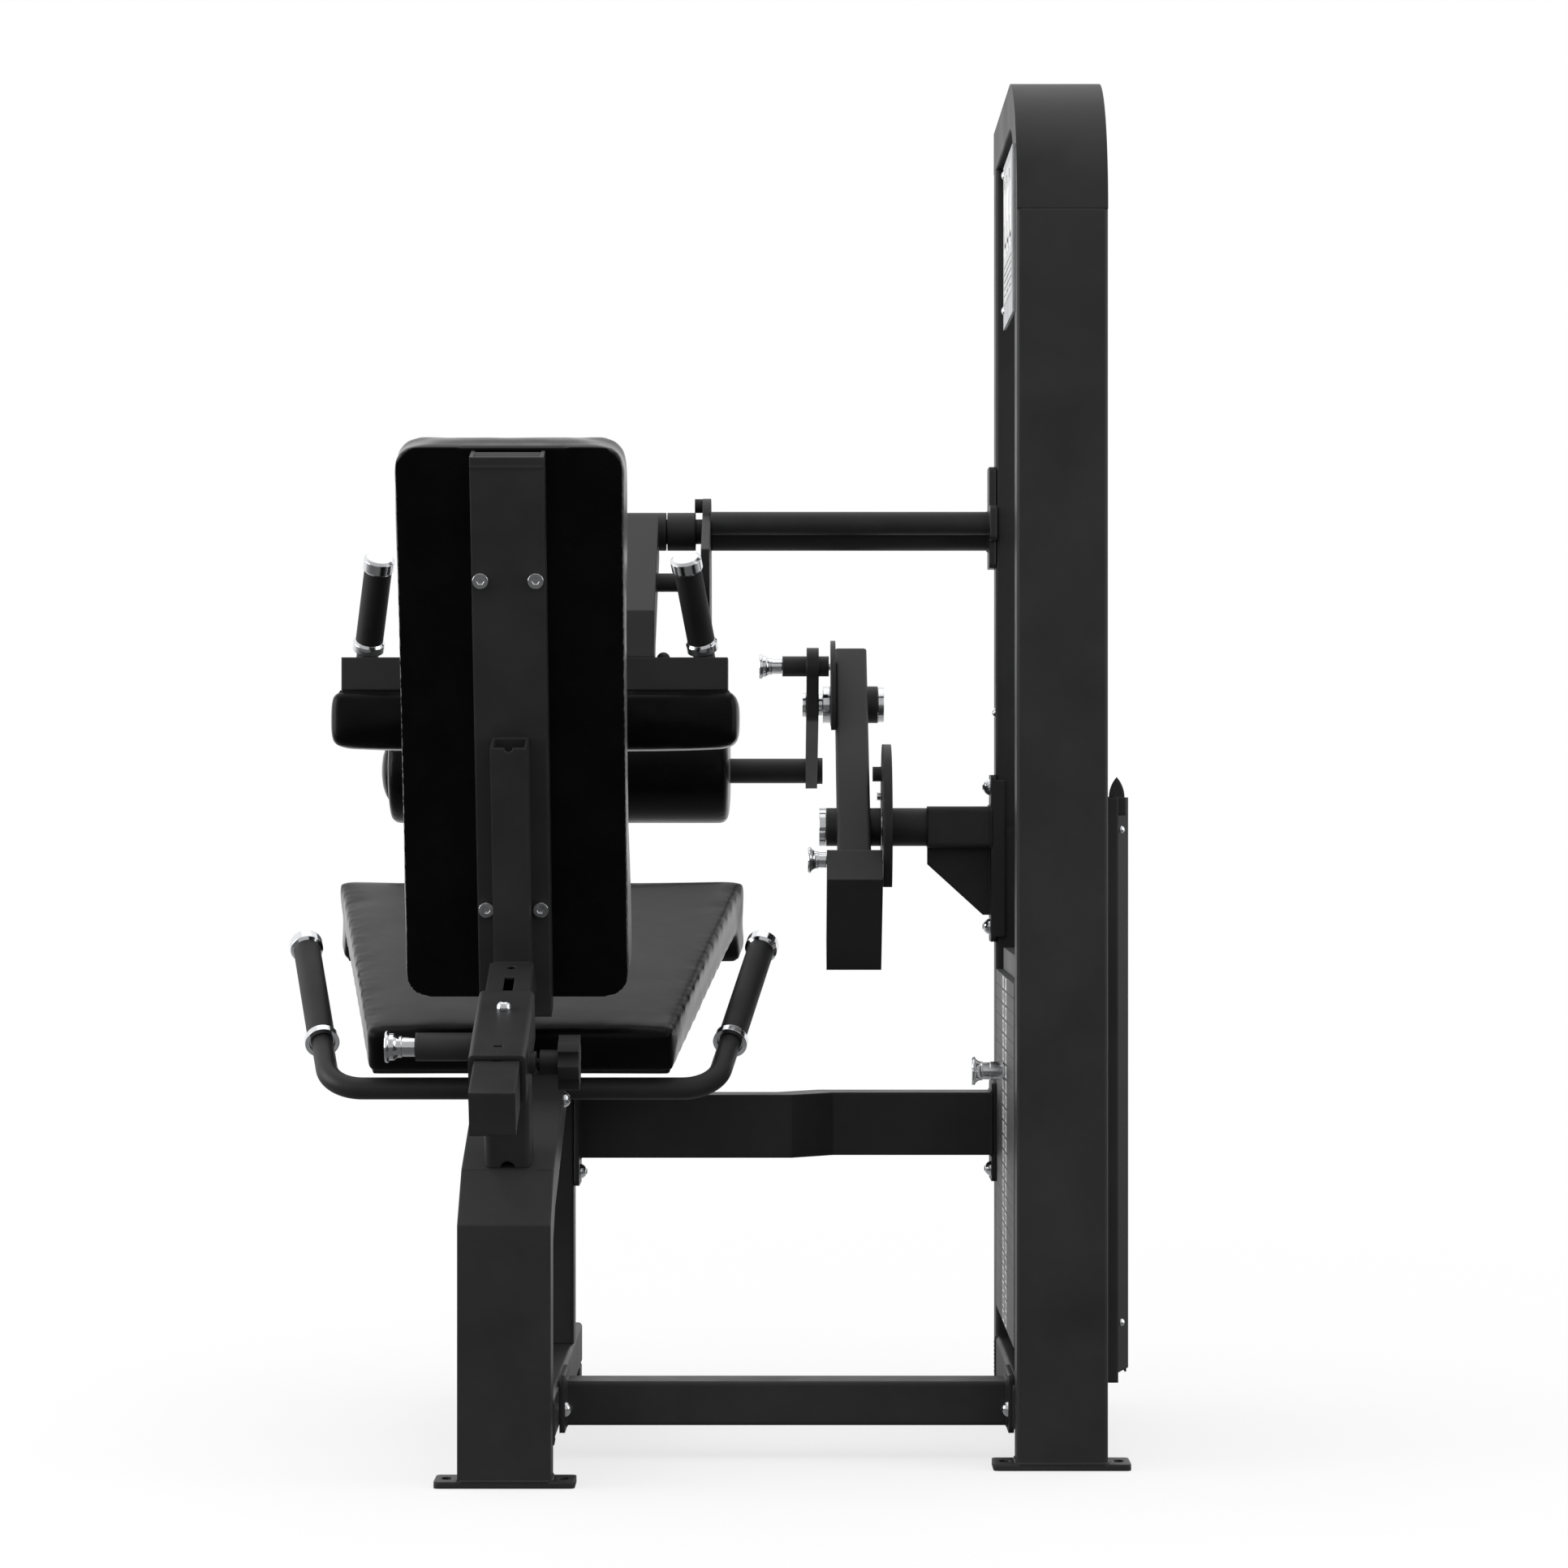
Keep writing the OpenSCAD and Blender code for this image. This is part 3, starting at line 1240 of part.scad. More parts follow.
module lever_sector() {
  color(steel) placed() difference() {
    side_at(sector2_x, link_sector_t) difference() {
      union() {
        translate(link_axis) circle(26);
        intersection() {
          translate(link_axis) circle(link_sector_r);
          polygon([link_axis + polar(20, link_pin_a - 130), link_axis + polar(160, link_pin_a - 60),
            link_axis + polar(160, link_pin_a), link_axis + polar(160, link_pin_a + 62),
            link_axis + polar(20, link_pin_a + 130)]);
        }
      }
      for (k = [-3:3]) translate(link_axis + polar(link_pin_r, link_pin_a + 15 * k)) circle(d = 11);
    }
    bar_x(sector2_x - eps, link_sector_t + 2 * eps, link_axis, 20 + 2 * run_gap);
  }
}

module link_pin() {
  color(chrome) placed() {
    bar_x(link_x - 5, lever_x + lever_w + boss_out - link_x + 6, link_axis, 20);
    bar_x(link_x - 5, 4.5, link_axis, 30);
    bar_x(lever_x + lever_w + boss_out + 0.5, 7, link_axis, boss_d - 2);
    bar_x(link_x + link_t, 5, link_axis, 27);
    bar_x(link_x + link_t + 5.5, sector2_x - link_x - link_t - 6, link_axis, boss_d);
  }
}

link_knee = link_axis + polar(link_pin_r, link_pin_a);
module link_plate() {
  color(steel) placed() {
    difference() {
      side_at(link_x, link_t) union() {
        for (c = [link_knee, link_axis, roller_axis]) translate(c) circle(d = link_w);
        for (e = [[link_knee, link_axis], [link_axis, roller_axis]])
          let (d = dir2(e[0], e[1]) * link_w / 2, q = nrm2(d))
            polygon([e[0] + q, e[1] + q, e[1] - q, e[0] - q]);
      }
      bar_x(link_x - eps, link_t + 2 * eps, link_axis, 20.1);
      bar_x(link_x - eps, link_t + 2 * eps, link_knee, 25.1);
      bar_x(link_x - eps, link_t + 2 * eps, roller_axis, roller_tube_d + 0.1);
    }
    // Barrel of the pop pin
    difference() {
      bar_x(link_x - 30, sector2_x - 2.5 - link_x + 30, link_knee, 25.1);
      bar_x(link_x - 31, 70, link_knee, 10.1);
    }
  }
}

module link_plunger() {
  color(chrome) placed() {
    bar_x(link_x - 34, sector2_x - link_x + 33.5, link_knee, 10);
    translate([link_x - 30.5, link_knee[0], link_knee[1]]) pull_knob(31, 28);
  }
}

module roller_tube() {
  color(steel) placed() {
    difference() {
      bar_x(roller_right - roller_len + 14, link_x + link_t + 4 - roller_right + roller_len - 14, roller_axis, roller_tube_d);
      bar_x(roller_right - roller_len + 20, roller_len + 80, roller_axis, roller_tube_d - 6);
    }
    bar_x(link_x + link_t, 7, roller_axis, roller_tube_d + 2);
  }
}

// Foam roller with rounded edges and a domed end cap on its free end
module roller_pad() {
  r = roller_d / 2;
  edge = 10;
  color(vinyl) placed() translate([roller_right - roller_len, roller_axis[0], roller_axis[1]])
    rotate([0, 90, 0]) difference() {
      union() {
        rotate_extrude() union() {
          square([r - edge, roller_len]);
          translate([0, edge]) square([r, roller_len - 2 * edge]);
          for (z = [edge, roller_len - edge]) translate([r - edge, z]) circle(edge);
        }
        mirror([0, 0, 1]) dome(r * 1.1, 11);
      }
      translate([0, 0, 14]) cylinder(h = roller_len, d = roller_tube_d + 2 * run_gap);
    }
}

seat_rear_post();
seat_beam();
seat_front_leg();
seat_base_beam();
seat_feet();
seat_handle_bar();
seat_grips();
seat_grip_rings();
seat_pad();
slide_sleeve();
tower_near_upright();
tower_top_tube();
tower_far_upright();
tower_base_beam();
tower_feet();
guide_rods();
rubber_bumpers();
resting_plates();
stack_shield();
placard();
lower_crossbeam();
upper_crossbeam();
frame_bolts();
pivot_bracket();
bearing_housing();
hold_crossbars();
hold_sector();
pulley_brackets();
stack_cable();
drive_cable();
back_rail();
back_channel();
back_pad();
back_bolts();
back_plunger();
clamp_knob();
hold_arm();
hold_channel();
hold_pad();
hold_grips();
hold_grip_rings();
hold_plunger();
main_shaft();
start_disc();
drive_cam();
lever_arm();
counterweight();
start_plunger();
lever_sector();
link_pin();
link_plate();
link_plunger();
roller_tube();
roller_pad();
head_plate();
selected_plates();
selector_pin();
front_pulley();
rear_pulley();
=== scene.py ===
"""Looks of the leg extension and hamstring machine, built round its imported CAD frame."""

import json
import math

import bpy
import bmesh
from mathutils import Matrix, Vector
from mathutils.bvhtree import BVHTree


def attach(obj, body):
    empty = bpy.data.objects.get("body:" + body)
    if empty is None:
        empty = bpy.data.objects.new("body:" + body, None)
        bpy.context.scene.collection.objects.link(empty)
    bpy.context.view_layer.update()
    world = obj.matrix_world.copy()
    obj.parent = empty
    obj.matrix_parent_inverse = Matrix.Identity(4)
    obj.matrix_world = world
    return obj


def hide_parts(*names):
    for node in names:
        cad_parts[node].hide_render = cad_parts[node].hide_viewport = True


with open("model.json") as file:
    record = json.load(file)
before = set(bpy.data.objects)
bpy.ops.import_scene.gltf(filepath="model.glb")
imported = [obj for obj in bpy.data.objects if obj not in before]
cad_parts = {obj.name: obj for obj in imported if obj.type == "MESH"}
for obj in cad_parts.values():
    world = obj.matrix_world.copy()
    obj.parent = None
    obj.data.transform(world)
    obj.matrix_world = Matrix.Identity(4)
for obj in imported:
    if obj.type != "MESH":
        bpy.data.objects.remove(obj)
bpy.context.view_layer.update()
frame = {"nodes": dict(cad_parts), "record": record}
nodes = frame["nodes"]
record = frame["record"]
MM = 0.001

# The source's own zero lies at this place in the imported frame
ORIGIN = Vector((-194.578 * MM, -441.405 * MM, 0.0))


def at(x, y, z):
    """A point of the source, in mm, as a point of the frame, in metres."""
    return ORIGIN + Vector((x, y, z)) * MM


# Shader helpers; m is a material or a world


def add(m, kind, **settings):
    """A node of that kind, with properties set by name."""
    n = m.node_tree.nodes.new(kind)
    for k, v in settings.items():
        setattr(n, k, v)
    return n


def link(m, a, b):
    """Joins an output to an input."""
    m.node_tree.links.new(a, b)


def set_inputs(n, **values):
    """Sets a node's inputs by name, with _ for each space."""
    for name, value in values.items():
        n.inputs[name.replace("_", " ")].default_value = value


def new_material(name, colour, rough, metal=0.0, specular=0.5,
                 coat=0.0, coat_rough=0.2, sheen=0.0):
    """A Principled material with its constant values on its own sockets."""
    m = bpy.data.materials.new(name)
    m.use_nodes = True
    b = m.node_tree.nodes["Principled BSDF"]
    set_inputs(b, Base_Color=(*colour, 1), Roughness=rough, Metallic=metal)
    set_inputs(b, Specular_IOR_Level=specular, Sheen_Weight=sheen)
    set_inputs(b, Coat_Weight=coat, Coat_Roughness=coat_rough)
    return m, b


def noise(m, scale, detail=3.0, rough=0.5, stretch=None):
    """The value of a noise in object space, so that it stays with its piece."""
    spot = add(m, "ShaderNodeTexCoord").outputs["Object"]
    n = add(m, "ShaderNodeTexNoise")
    set_inputs(n, Scale=scale, Detail=detail, Roughness=rough)
    if stretch:
        longer = add(m, "ShaderNodeMapping")
        set_inputs(longer, Scale=stretch)
        link(m, spot, longer.inputs["Vector"])
        spot = longer.outputs["Vector"]
    link(m, spot, n.inputs["Vector"])
    return n.outputs["Fac"]


def spread(m, value, low, high, start=0.3, end=0.7, curve="LINEAR"):
    """Maps a value from start..end to low..high."""
    r = add(m, "ShaderNodeMapRange", interpolation_type=curve)
    set_inputs(r, From_Min=start, From_Max=end, To_Min=low, To_Max=high)
    link(m, value, r.inputs["Value"])
    return r.outputs["Result"]


def mix(m, factor, a, b, kind="RGBA"):
    """Mix of two colours, or two values, by a factor; each may be a socket."""
    n = add(m, "ShaderNodeMix", data_type=kind)
    link(m, factor, n.inputs["Factor"])
    for socket, value in ((n.inputs["A"], a), (n.inputs["B"], b)):
        if isinstance(value, bpy.types.NodeSocket):
            link(m, value, socket)
        else:
            socket.default_value = (*value, 1) if kind == "RGBA" else value
    return n.outputs["Result"]


def maths(m, operation, a, b):
    """One operation on two sockets."""
    n = add(m, "ShaderNodeMath", operation=operation)
    link(m, a, n.inputs[0])
    link(m, b, n.inputs[1])
    return n.outputs[0]


def edge_mask(m, radius):
    """Bevelled normal, and a mask that is 1 on the edges it rounds."""
    bevel = add(m, "ShaderNodeBevel", samples=6)
    set_inputs(bevel, Radius=radius)
    dot = add(m, "ShaderNodeVectorMath", operation="DOT_PRODUCT")
    link(m, bevel.outputs["Normal"], dot.inputs[0])
    link(m, add(m, "ShaderNodeNewGeometry").outputs["Normal"], dot.inputs[1])
    mask = spread(m, dot.outputs["Value"], low=1.0, high=0.0, start=0.86, end=0.995)
    return bevel.outputs["Normal"], mask


def bump(m, height, strength, distance, normal=None):
    """A normal that rises and falls with a height."""
    n = add(m, "ShaderNodeBump")
    set_inputs(n, Strength=strength, Distance=distance)
    link(m, height, n.inputs["Height"])
    if normal is not None:
        link(m, normal, n.inputs["Normal"])
    return n.outputs["Normal"]


def lightened(colour, times, more):
    """A colour made paler."""
    return tuple(c * times + more for c in colour)


def powder_coat(name, colour, rough, edge=0.004, specular=0.35):
    """Satin powder coat: fine orange peel, a little dust on top, edges rubbed smooth."""
    m, b = new_material(name, colour, rough, specular=specular)
    normal, edges = edge_mask(m, edge)
    cloud = noise(m, scale=9.0, detail=4.0, rough=0.6)
    dusty = lightened(colour, 1.35, 0.002)
    rubbed = lightened(colour, 2.0, 0.006)
    body = mix(m, spread(m, cloud, 0.0, 1.0), colour, dusty)
    worn = spread(m, edges, low=0.0, high=0.35, start=0.0, end=1.0)
    link(m, mix(m, worn, body, rubbed), b.inputs["Base Color"])
    link(m, spread(m, cloud, rough - 0.05, rough + 0.07), b.inputs["Roughness"])
    peel = noise(m, scale=620.0, detail=2.0, rough=0.5)
    link(m, bump(m, peel, 0.12, 0.0004, normal), b.inputs["Normal"])
    return m


def chrome_plate(name, colour=(0.80, 0.81, 0.83), rough=0.09):
    """Chrome with faint rub marks and finger-dulled patches."""
    m, b = new_material(name, colour, rough, metal=1.0)
    normal, _ = edge_mask(m, 0.0012)
    cloud = noise(m, scale=45.0, detail=3.0, rough=0.6)
    link(m, spread(m, cloud, rough - 0.03, rough + 0.09), b.inputs["Roughness"])
    rub = noise(m, scale=260.0, detail=3.0, rough=0.6, stretch=(1.0, 1.0, 8.0))
    link(m, bump(m, rub, 0.05, 0.0002, normal), b.inputs["Normal"])
    return m


def vinyl_cover(name, colour, rough=0.4, grain=900.0, depth=0.35):
    """Upholstery vinyl: pebble grain with soft creases."""
    m, b = new_material(name, colour, rough, specular=0.06, coat=0.9, coat_rough=0.24, sheen=0.25)
    set_inputs(b, Coat_IOR=1.15, Sheen_Roughness=0.25)
    pebble = add(m, "ShaderNodeTexVoronoi", feature="F1")
    set_inputs(pebble, Scale=grain)
    link(m, add(m, "ShaderNodeTexCoord").outputs["Object"], pebble.inputs["Vector"])
    soft = noise(m, scale=14.0, detail=5.0, rough=0.6)
    paler = lightened(colour, 1.7, 0.002)
    link(m, mix(m, spread(m, soft, 0.0, 1.0), colour, paler), b.inputs["Base Color"])
    link(m, spread(m, soft, rough - 0.05, rough + 0.08), b.inputs["Roughness"])
    grained = bump(m, pebble.outputs["Distance"], depth, 0.0005)
    link(m, bump(m, soft, 0.04, 0.004, grained), b.inputs["Normal"])
    return m


def moulded(name, colour, rough, grain=500.0, strength=0.15, specular=0.4):
    """Moulded rubber or plastic: fine matt grain."""
    m, b = new_material(name, colour, rough, specular=specular)
    normal, edges = edge_mask(m, 0.0015)
    fine = noise(m, scale=grain, detail=2.0, rough=0.5)
    cloud = noise(m, scale=25.0, detail=3.0, rough=0.5)
    paler = lightened(colour, 1.5, 0.003)
    body = mix(m, spread(m, cloud, 0.0, 1.0), colour, paler)
    worn = spread(m, edges, low=0.0, high=0.3, start=0.0, end=1.0)
    link(m, mix(m, worn, body, paler), b.inputs["Base Color"])
    link(m, spread(m, cloud, rough - 0.06, rough + 0.06), b.inputs["Roughness"])
    link(m, bump(m, fine, strength, 0.0005, normal), b.inputs["Normal"])
    return m


# Materials of the CAD pieces, by their slots

PAINT = powder_coat("charcoal powder coat", (0.0235, 0.0235, 0.024), 0.44,
                    edge=0.0035, specular=0.22)
PLATE = powder_coat("plate paint", (0.08, 0.08, 0.081), 0.5, edge=0.0008, specular=0.4)
DARK = powder_coat("dark steel", (0.02, 0.02, 0.021), 0.4, edge=0.001, specular=0.4)
CHROME = chrome_plate("chrome")
VINYL = vinyl_cover("black vinyl", (0.0009, 0.0009, 0.001), 0.34)
RUBBER = moulded("black rubber", (0.006, 0.006, 0.006), 0.6)
NYLON = moulded("black nylon", (0.012, 0.012, 0.012), 0.45)
CABLE = moulded("cable cover", (0.01, 0.01, 0.01), 0.35, grain=1500.0, strength=0.1)
PRINT = moulded("placard", (0.42, 0.43, 0.44), 0.45, grain=300.0, strength=0.05)

SLOT_LOOKS = {
    "frame_paint": PAINT,
    "dark_steel": DARK,
    "chrome": CHROME,
    "vinyl": VINYL,
    "rubber": RUBBER,
    "plate_paint": PLATE,
    "pulley_nylon": NYLON,
    "cable_cover": CABLE,
    "placard_print": PRINT,
}
for part in record["subparts"]:
    mesh = nodes[part["node"]].data
    mesh.materials.clear()
    mesh.materials.append(SLOT_LOOKS[part["material_slot"]])

# Soft pads

CLOTH_FRAMES = 20
CLOTH = {
    "quality": 5,
    "mass": 0.3,
    "tension_stiffness": 30.0,
    "compression_stiffness": 30.0,
    "shear_stiffness": 10.0,
    "bending_stiffness": 2.0,
    "use_pressure": True,
}
SMOOTH_ROUNDS = 6


def copy_of(node, name):
    """A free copy of a CAD solid, for a soft piece that will stand for it."""
    obj = bpy.data.objects.new(name, nodes[node].data.copy())
    obj.data.transform(nodes[node].matrix_world)
    bpy.context.scene.collection.objects.link(obj)
    return obj


def select_only(obj):
    """Makes an object the one that operators work on."""
    bpy.ops.object.select_all(action="DESELECT")
    obj.select_set(True)
    bpy.context.view_layer.objects.active = obj


def shade_smooth(obj):
    """Shades a mesh without facets."""
    for f in obj.data.polygons:
        f.use_smooth = True


def draw_in(obj, depth):
    """Moves every point in along its normal, so that the pad can swell to its real size."""
    bm = bmesh.new()
    bm.from_mesh(obj.data)
    bmesh.ops.remove_doubles(bm, verts=bm.verts, dist=1e-5)
    bm.normal_update()
    for v in bm.verts:
        v.co -= v.normal * depth
    bm.to_mesh(obj.data)
    bm.free()


def blow_up(obj, pressure, cap):
    """A short cloth run under pressure, with each point's travel capped."""
    start = [v.co.copy() for v in obj.data.vertices]
    cloth = obj.modifiers.new("cloth", "CLOTH")
    for name, value in CLOTH.items():
        setattr(cloth.settings, name, value)
    cloth.settings.uniform_pressure_force = pressure
    cloth.settings.effector_weights.gravity = 0.0
    cloth.collision_settings.use_collision = False
    scene = bpy.context.scene
    for f in range(1, CLOTH_FRAMES + 1):
        scene.frame_set(f)
    made = obj.evaluated_get(bpy.context.evaluated_depsgraph_get()).data
    moved = [v.co.copy() for v in made.vertices]
    obj.modifiers.remove(cloth)
    scene.frame_set(1)
    for v, a, b in zip(obj.data.vertices, start, moved):
        step = b - a
        if step.length > cap:
            step *= cap / step.length
        v.co = a + step


def swell(obj, voxel, pressure, cap):
    """Voxel skin, blown up and then smoothed."""
    select_only(obj)
    obj.data.remesh_voxel_size = voxel
    obj.data.remesh_voxel_adaptivity = 0.0
    bpy.ops.object.voxel_remesh()
    blow_up(obj, pressure, cap)
    bm = bmesh.new()
    bm.from_mesh(obj.data)
    for _ in range(SMOOTH_ROUNDS):
        bmesh.ops.smooth_vert(bm, verts=bm.verts, factor=0.5,
                              use_axis_x=True, use_axis_y=True, use_axis_z=True)
    bm.to_mesh(obj.data)
    bm.free()
    sub = obj.modifiers.new("subdivision", "SUBSURF")
    sub.levels = sub.render_levels = 1
    select_only(obj)
    bpy.ops.object.modifier_apply(modifier=sub.name)
    shade_smooth(obj)


def lay_flat(obj, node, facing, reach=0.006, near=0.985):
    """Puts the points by the CAD solid's flat side, which faces that way, back on it."""
    solid = nodes[node]
    tree = BVHTree.FromPolygons(
        [solid.matrix_world @ v.co for v in solid.data.vertices],
        [tuple(f.vertices) for f in solid.data.polygons],
    )
    facing = Vector(facing).normalized()
    for v in obj.data.vertices:
        spot, normal, _, _ = tree.find_nearest(v.co, reach)
        if spot is not None and normal.dot(facing) > near:
            v.co = spot


def clear_bore(obj, node, gap=0.001):
    """Keeps a cover off the tube in its bore, along x: its points go back past wall and end."""
    solid = nodes[node]
    spots = [solid.matrix_world @ v.co for v in solid.data.vertices]
    mid_y = (min(p.y for p in spots) + max(p.y for p in spots)) / 2
    mid_z = (min(p.z for p in spots) + max(p.z for p in spots)) / 2

    def off_axis(p):
        return math.hypot(p.y - mid_y, p.z - mid_z)

    mouth = max(p.x for p in spots)
    bore = min(off_axis(p) for p in spots if p.x > mouth - gap)
    foot = min(p.x for p in spots if abs(off_axis(p) - bore) < gap / 2)
    for v in obj.data.vertices:
        off = off_axis(v.co)
        across = bore + gap - off
        along = v.co.x - (foot - gap)
        if across > 0 and along > 0:
            if along < across:
                v.co.x = foot - gap
            else:
                v.co.y += (v.co.y - mid_y) / off * across
                v.co.z += (v.co.z - mid_z) / off * across


def make_pad(node, name, body, facing, depth, voxel, pressure, cap):
    """A covered foam pad that stands for the CAD cushion, flat on its board."""
    pad = copy_of(node, name)
    draw_in(pad, depth)
    swell(pad, voxel, pressure, cap)
    if facing:
        lay_flat(pad, node, facing)
    pad.data.materials.clear()
    pad.data.materials.append(VINYL)
    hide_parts(node)
    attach(pad, body)
    return pad


# Where the boards of the seat and the back face, which slope and lean by these angles
SEAT_SLOPE = math.radians(19.7)
BACK_LEAN = math.radians(15.2)
SEAT_BOARD = (0, math.sin(SEAT_SLOPE), -math.cos(SEAT_SLOPE))
BACK_BOARD = (0, -math.cos(BACK_LEAN), -math.sin(BACK_LEAN))
THIGH_BOARD = (0, 0, 1)

make_pad("seat_pad", "seat_cushion", "frame", SEAT_BOARD,
         depth=0.0015, voxel=0.005, pressure=4.0, cap=0.0025)
make_pad("back_pad", "back_cushion", "back_rest", BACK_BOARD,
         depth=0.0015, voxel=0.005, pressure=4.0, cap=0.0025)
make_pad("hold_pad", "thigh_cushion", "hold_down", THIGH_BOARD,
         depth=0.0012, voxel=0.004, pressure=4.0, cap=0.002)
roll = make_pad("roller_pad", "roller_cushion", "roller", None,
                depth=0.001, voxel=0.005, pressure=3.0, cap=0.0015)
clear_bore(roll, "roller_pad")

# Labels, placard and small hardware, with sizes in mm

# Repeated from the source
TUBE_HALF = 50.0
TOWER_LEFT = 554.0
TOWER_MID = 604.0
STACK_MID = 386.0
STACK_LOW = 126.0
PLATE_STEP = 16.85
PLATE_THICK = 16.25
PLATES_DOWN = 17
PLATES_UP = 7
SEAT_FLANGE = 56.0
TOWER_FLANGE = 548.0
PLACARD_FACE = TOWER_LEFT - 3.0
PLACARD_Y = (158.0, 354.0)
PLACARD_Z = (1273.0, 1459.0)

LABEL = moulded("plate label", (0.78, 0.78, 0.78), 0.5, grain=300.0, strength=0.03)
INK = moulded("label ink", (0.02, 0.02, 0.02), 0.55, grain=300.0, strength=0.03)
PANEL = moulded("placard panel", (0.56, 0.565, 0.565), 0.42, grain=300.0, strength=0.03)
# Painted shade: a dark colour standing for the shade inside the bolt heads' sockets
SOCKET_SHADE = moulded("painted socket shade", (0.03, 0.03, 0.03), 0.6)
CAP = moulded("glossy cap", (0.003, 0.003, 0.003), 0.22,
              grain=700.0, strength=0.04, specular=0.15)


def mesh_piece(name, bm, look, body):
    """Turns a bmesh in frame coordinates into a piece that rides on a body."""
    me = bpy.data.meshes.new(name)
    bmesh.ops.recalc_face_normals(bm, faces=bm.faces)
    bm.to_mesh(me)
    bm.free()
    me.materials.append(look)
    obj = bpy.data.objects.new(name, me)
    bpy.context.scene.collection.objects.link(obj)
    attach(obj, body)
    return obj


def box_into(bm, low, high):
    """A box between two corners."""
    a, b = at(*low), at(*high)
    shape = bmesh.ops.create_cube(bm, size=1.0)
    for v in shape["verts"]:
        v.co = Vector((a[i] + (v.co[i] + 0.5) * (b[i] - a[i])) for i in range(3))
    return shape["verts"]


def soft_box_into(bm, low, high, radius):
    """A box with its edges rounded a little."""
    verts = box_into(bm, low, high)
    edges = list({e for v in verts for e in v.link_edges})
    bmesh.ops.bevel(bm, geom=edges, offset=radius * MM, segments=2, affect="EDGES", profile=0.5)


def number_into(bm, words, size, middle, thick=0.12):
    """Plain figures on a face that looks towards -X, centred on a point."""
    curve = bpy.data.curves.new("figures", "FONT")
    curve.body = words
    curve.size = size * MM
    curve.align_x = "CENTER"
    curve.align_y = "CENTER"
    curve.extrude = thick * MM
    obj = bpy.data.objects.new("figures", curve)
    bpy.context.scene.collection.objects.link(obj)
    dg = bpy.context.evaluated_depsgraph_get()
    dg.update()
    me = bpy.data.meshes.new_from_object(obj.evaluated_get(dg))
    # Text runs along -Y and stands along +Z, seen from -X
    turn = Matrix(((0, 0, -1), (-1, 0, 0), (0, 1, 0))).to_4x4()
    me.transform(Matrix.Translation(at(*middle)) @ turn)
    bm.from_mesh(me)
    bpy.data.objects.remove(obj)
    bpy.data.curves.remove(curve)
    bpy.data.meshes.remove(me)


def plate_labels(name, first, count, base, body):
    """Pale strips on the plates' left edges, either side of the pin holes, with plain numbers."""
    margin, inner, outer, weight = 1.2, 8.0, 47.0, 5
    strips, figures = bmesh.new(), bmesh.new()
    for i in range(count):
        low = base + i * PLATE_STEP + margin
        high = low + PLATE_THICK - 2 * margin
        for near, far in ((-outer, -inner), (inner, outer)):
            box_into(strips, (TOWER_LEFT - 0.3, STACK_MID + near, low),
                     (TOWER_LEFT - 0.02, STACK_MID + far, high))
        for side in (-27.0, 27.0):
            number_into(figures, str(weight * (first - i)), 11.0,
                        (TOWER_LEFT - 0.36, STACK_MID + side, (low + high) / 2))
    mesh_piece(name + "_labels", strips, LABEL, body)
    mesh_piece(name + "_numbers", figures, INK, body)


plate_labels("resting_plate", PLATES_DOWN + PLATES_UP, PLATES_DOWN, STACK_LOW, "frame")
plate_labels("lifted_plate", PLATES_UP, PLATES_UP, STACK_LOW + PLATES_DOWN * PLATE_STEP, "lift")


def placard_print():
    """A pale panel with three plain picture blocks, each with its number and ruled lines."""
    count, gap = 3, 6
    block_low, block_high = 52, 24
    lines, line_step, line_top, line_thick, last_short = 5, 8, 40, 1.6, 10
    seat_shape = (((-14, 0), (12, 5)), ((8, 0), (13, 26)), ((-16, -8), (-11, 6)))
    panel, blocks, ink = bmesh.new(), bmesh.new(), bmesh.new()

    def layer(bm, back, front, y0, y1, z0, z1):
        box_into(bm, (PLACARD_FACE - front, y0, z0), (PLACARD_FACE - back, y1, z1))

    y0, y1 = PLACARD_Y[0] + 10, PLACARD_Y[1] - 20
    z0, z1 = PLACARD_Z[0] + 26, PLACARD_Z[1] - 12
    soft_box_into(panel, (PLACARD_FACE - 0.4, y0, z0), (PLACARD_FACE - 0.02, y1, z1), 0.12)
    width = (y1 - y0 - (count + 1) * gap) / count
    for i in range(count):
        left = y1 - gap - i * (width + gap)
        layer(blocks, 0.38, 0.5, left - width, left, z0 + block_low, z1 - block_high)
        number_into(ink, str(i + 1), 14.0, (PLACARD_FACE - 0.52, left - 8, z1 - 13))
        for k in range(lines):
            short = last_short if k == lines - 1 else 0
            z = z0 + line_top - line_step * k
            layer(ink, 0.38, 0.5, left - width + short, left, z, z + line_thick)
        mid, low = left - width / 2, z0 + 62
        for a, b in seat_shape:
            layer(ink, 0.48, 0.6, mid + a[0], mid + b[0], low + a[1], low + b[1])
    mesh_piece("placard_panel", panel, PANEL, "frame")
    mesh_piece("placard_blocks", blocks, LABEL, "frame")
    mesh_piece("placard_ink", ink, INK, "frame")


placard_print()


def turned_to(axis):
    """A turn that brings +Z to an axis."""
    return Vector(axis).to_track_quat("Z", "X").to_matrix().to_4x4()


def prism_into(bm, place, axis, radius, height, sides):
    """A straight prism on a point, along a direction."""
    shape = bmesh.ops.create_cone(bm, cap_ends=True, segments=sides, radius1=radius * MM,
                                  radius2=radius * MM, depth=height * MM)
    move = Matrix.Translation(at(*place)) @ turned_to(axis)
    move = move @ Matrix.Translation((0, 0, height * MM / 2))
    bmesh.ops.transform(bm, matrix=move, verts=shape["verts"])


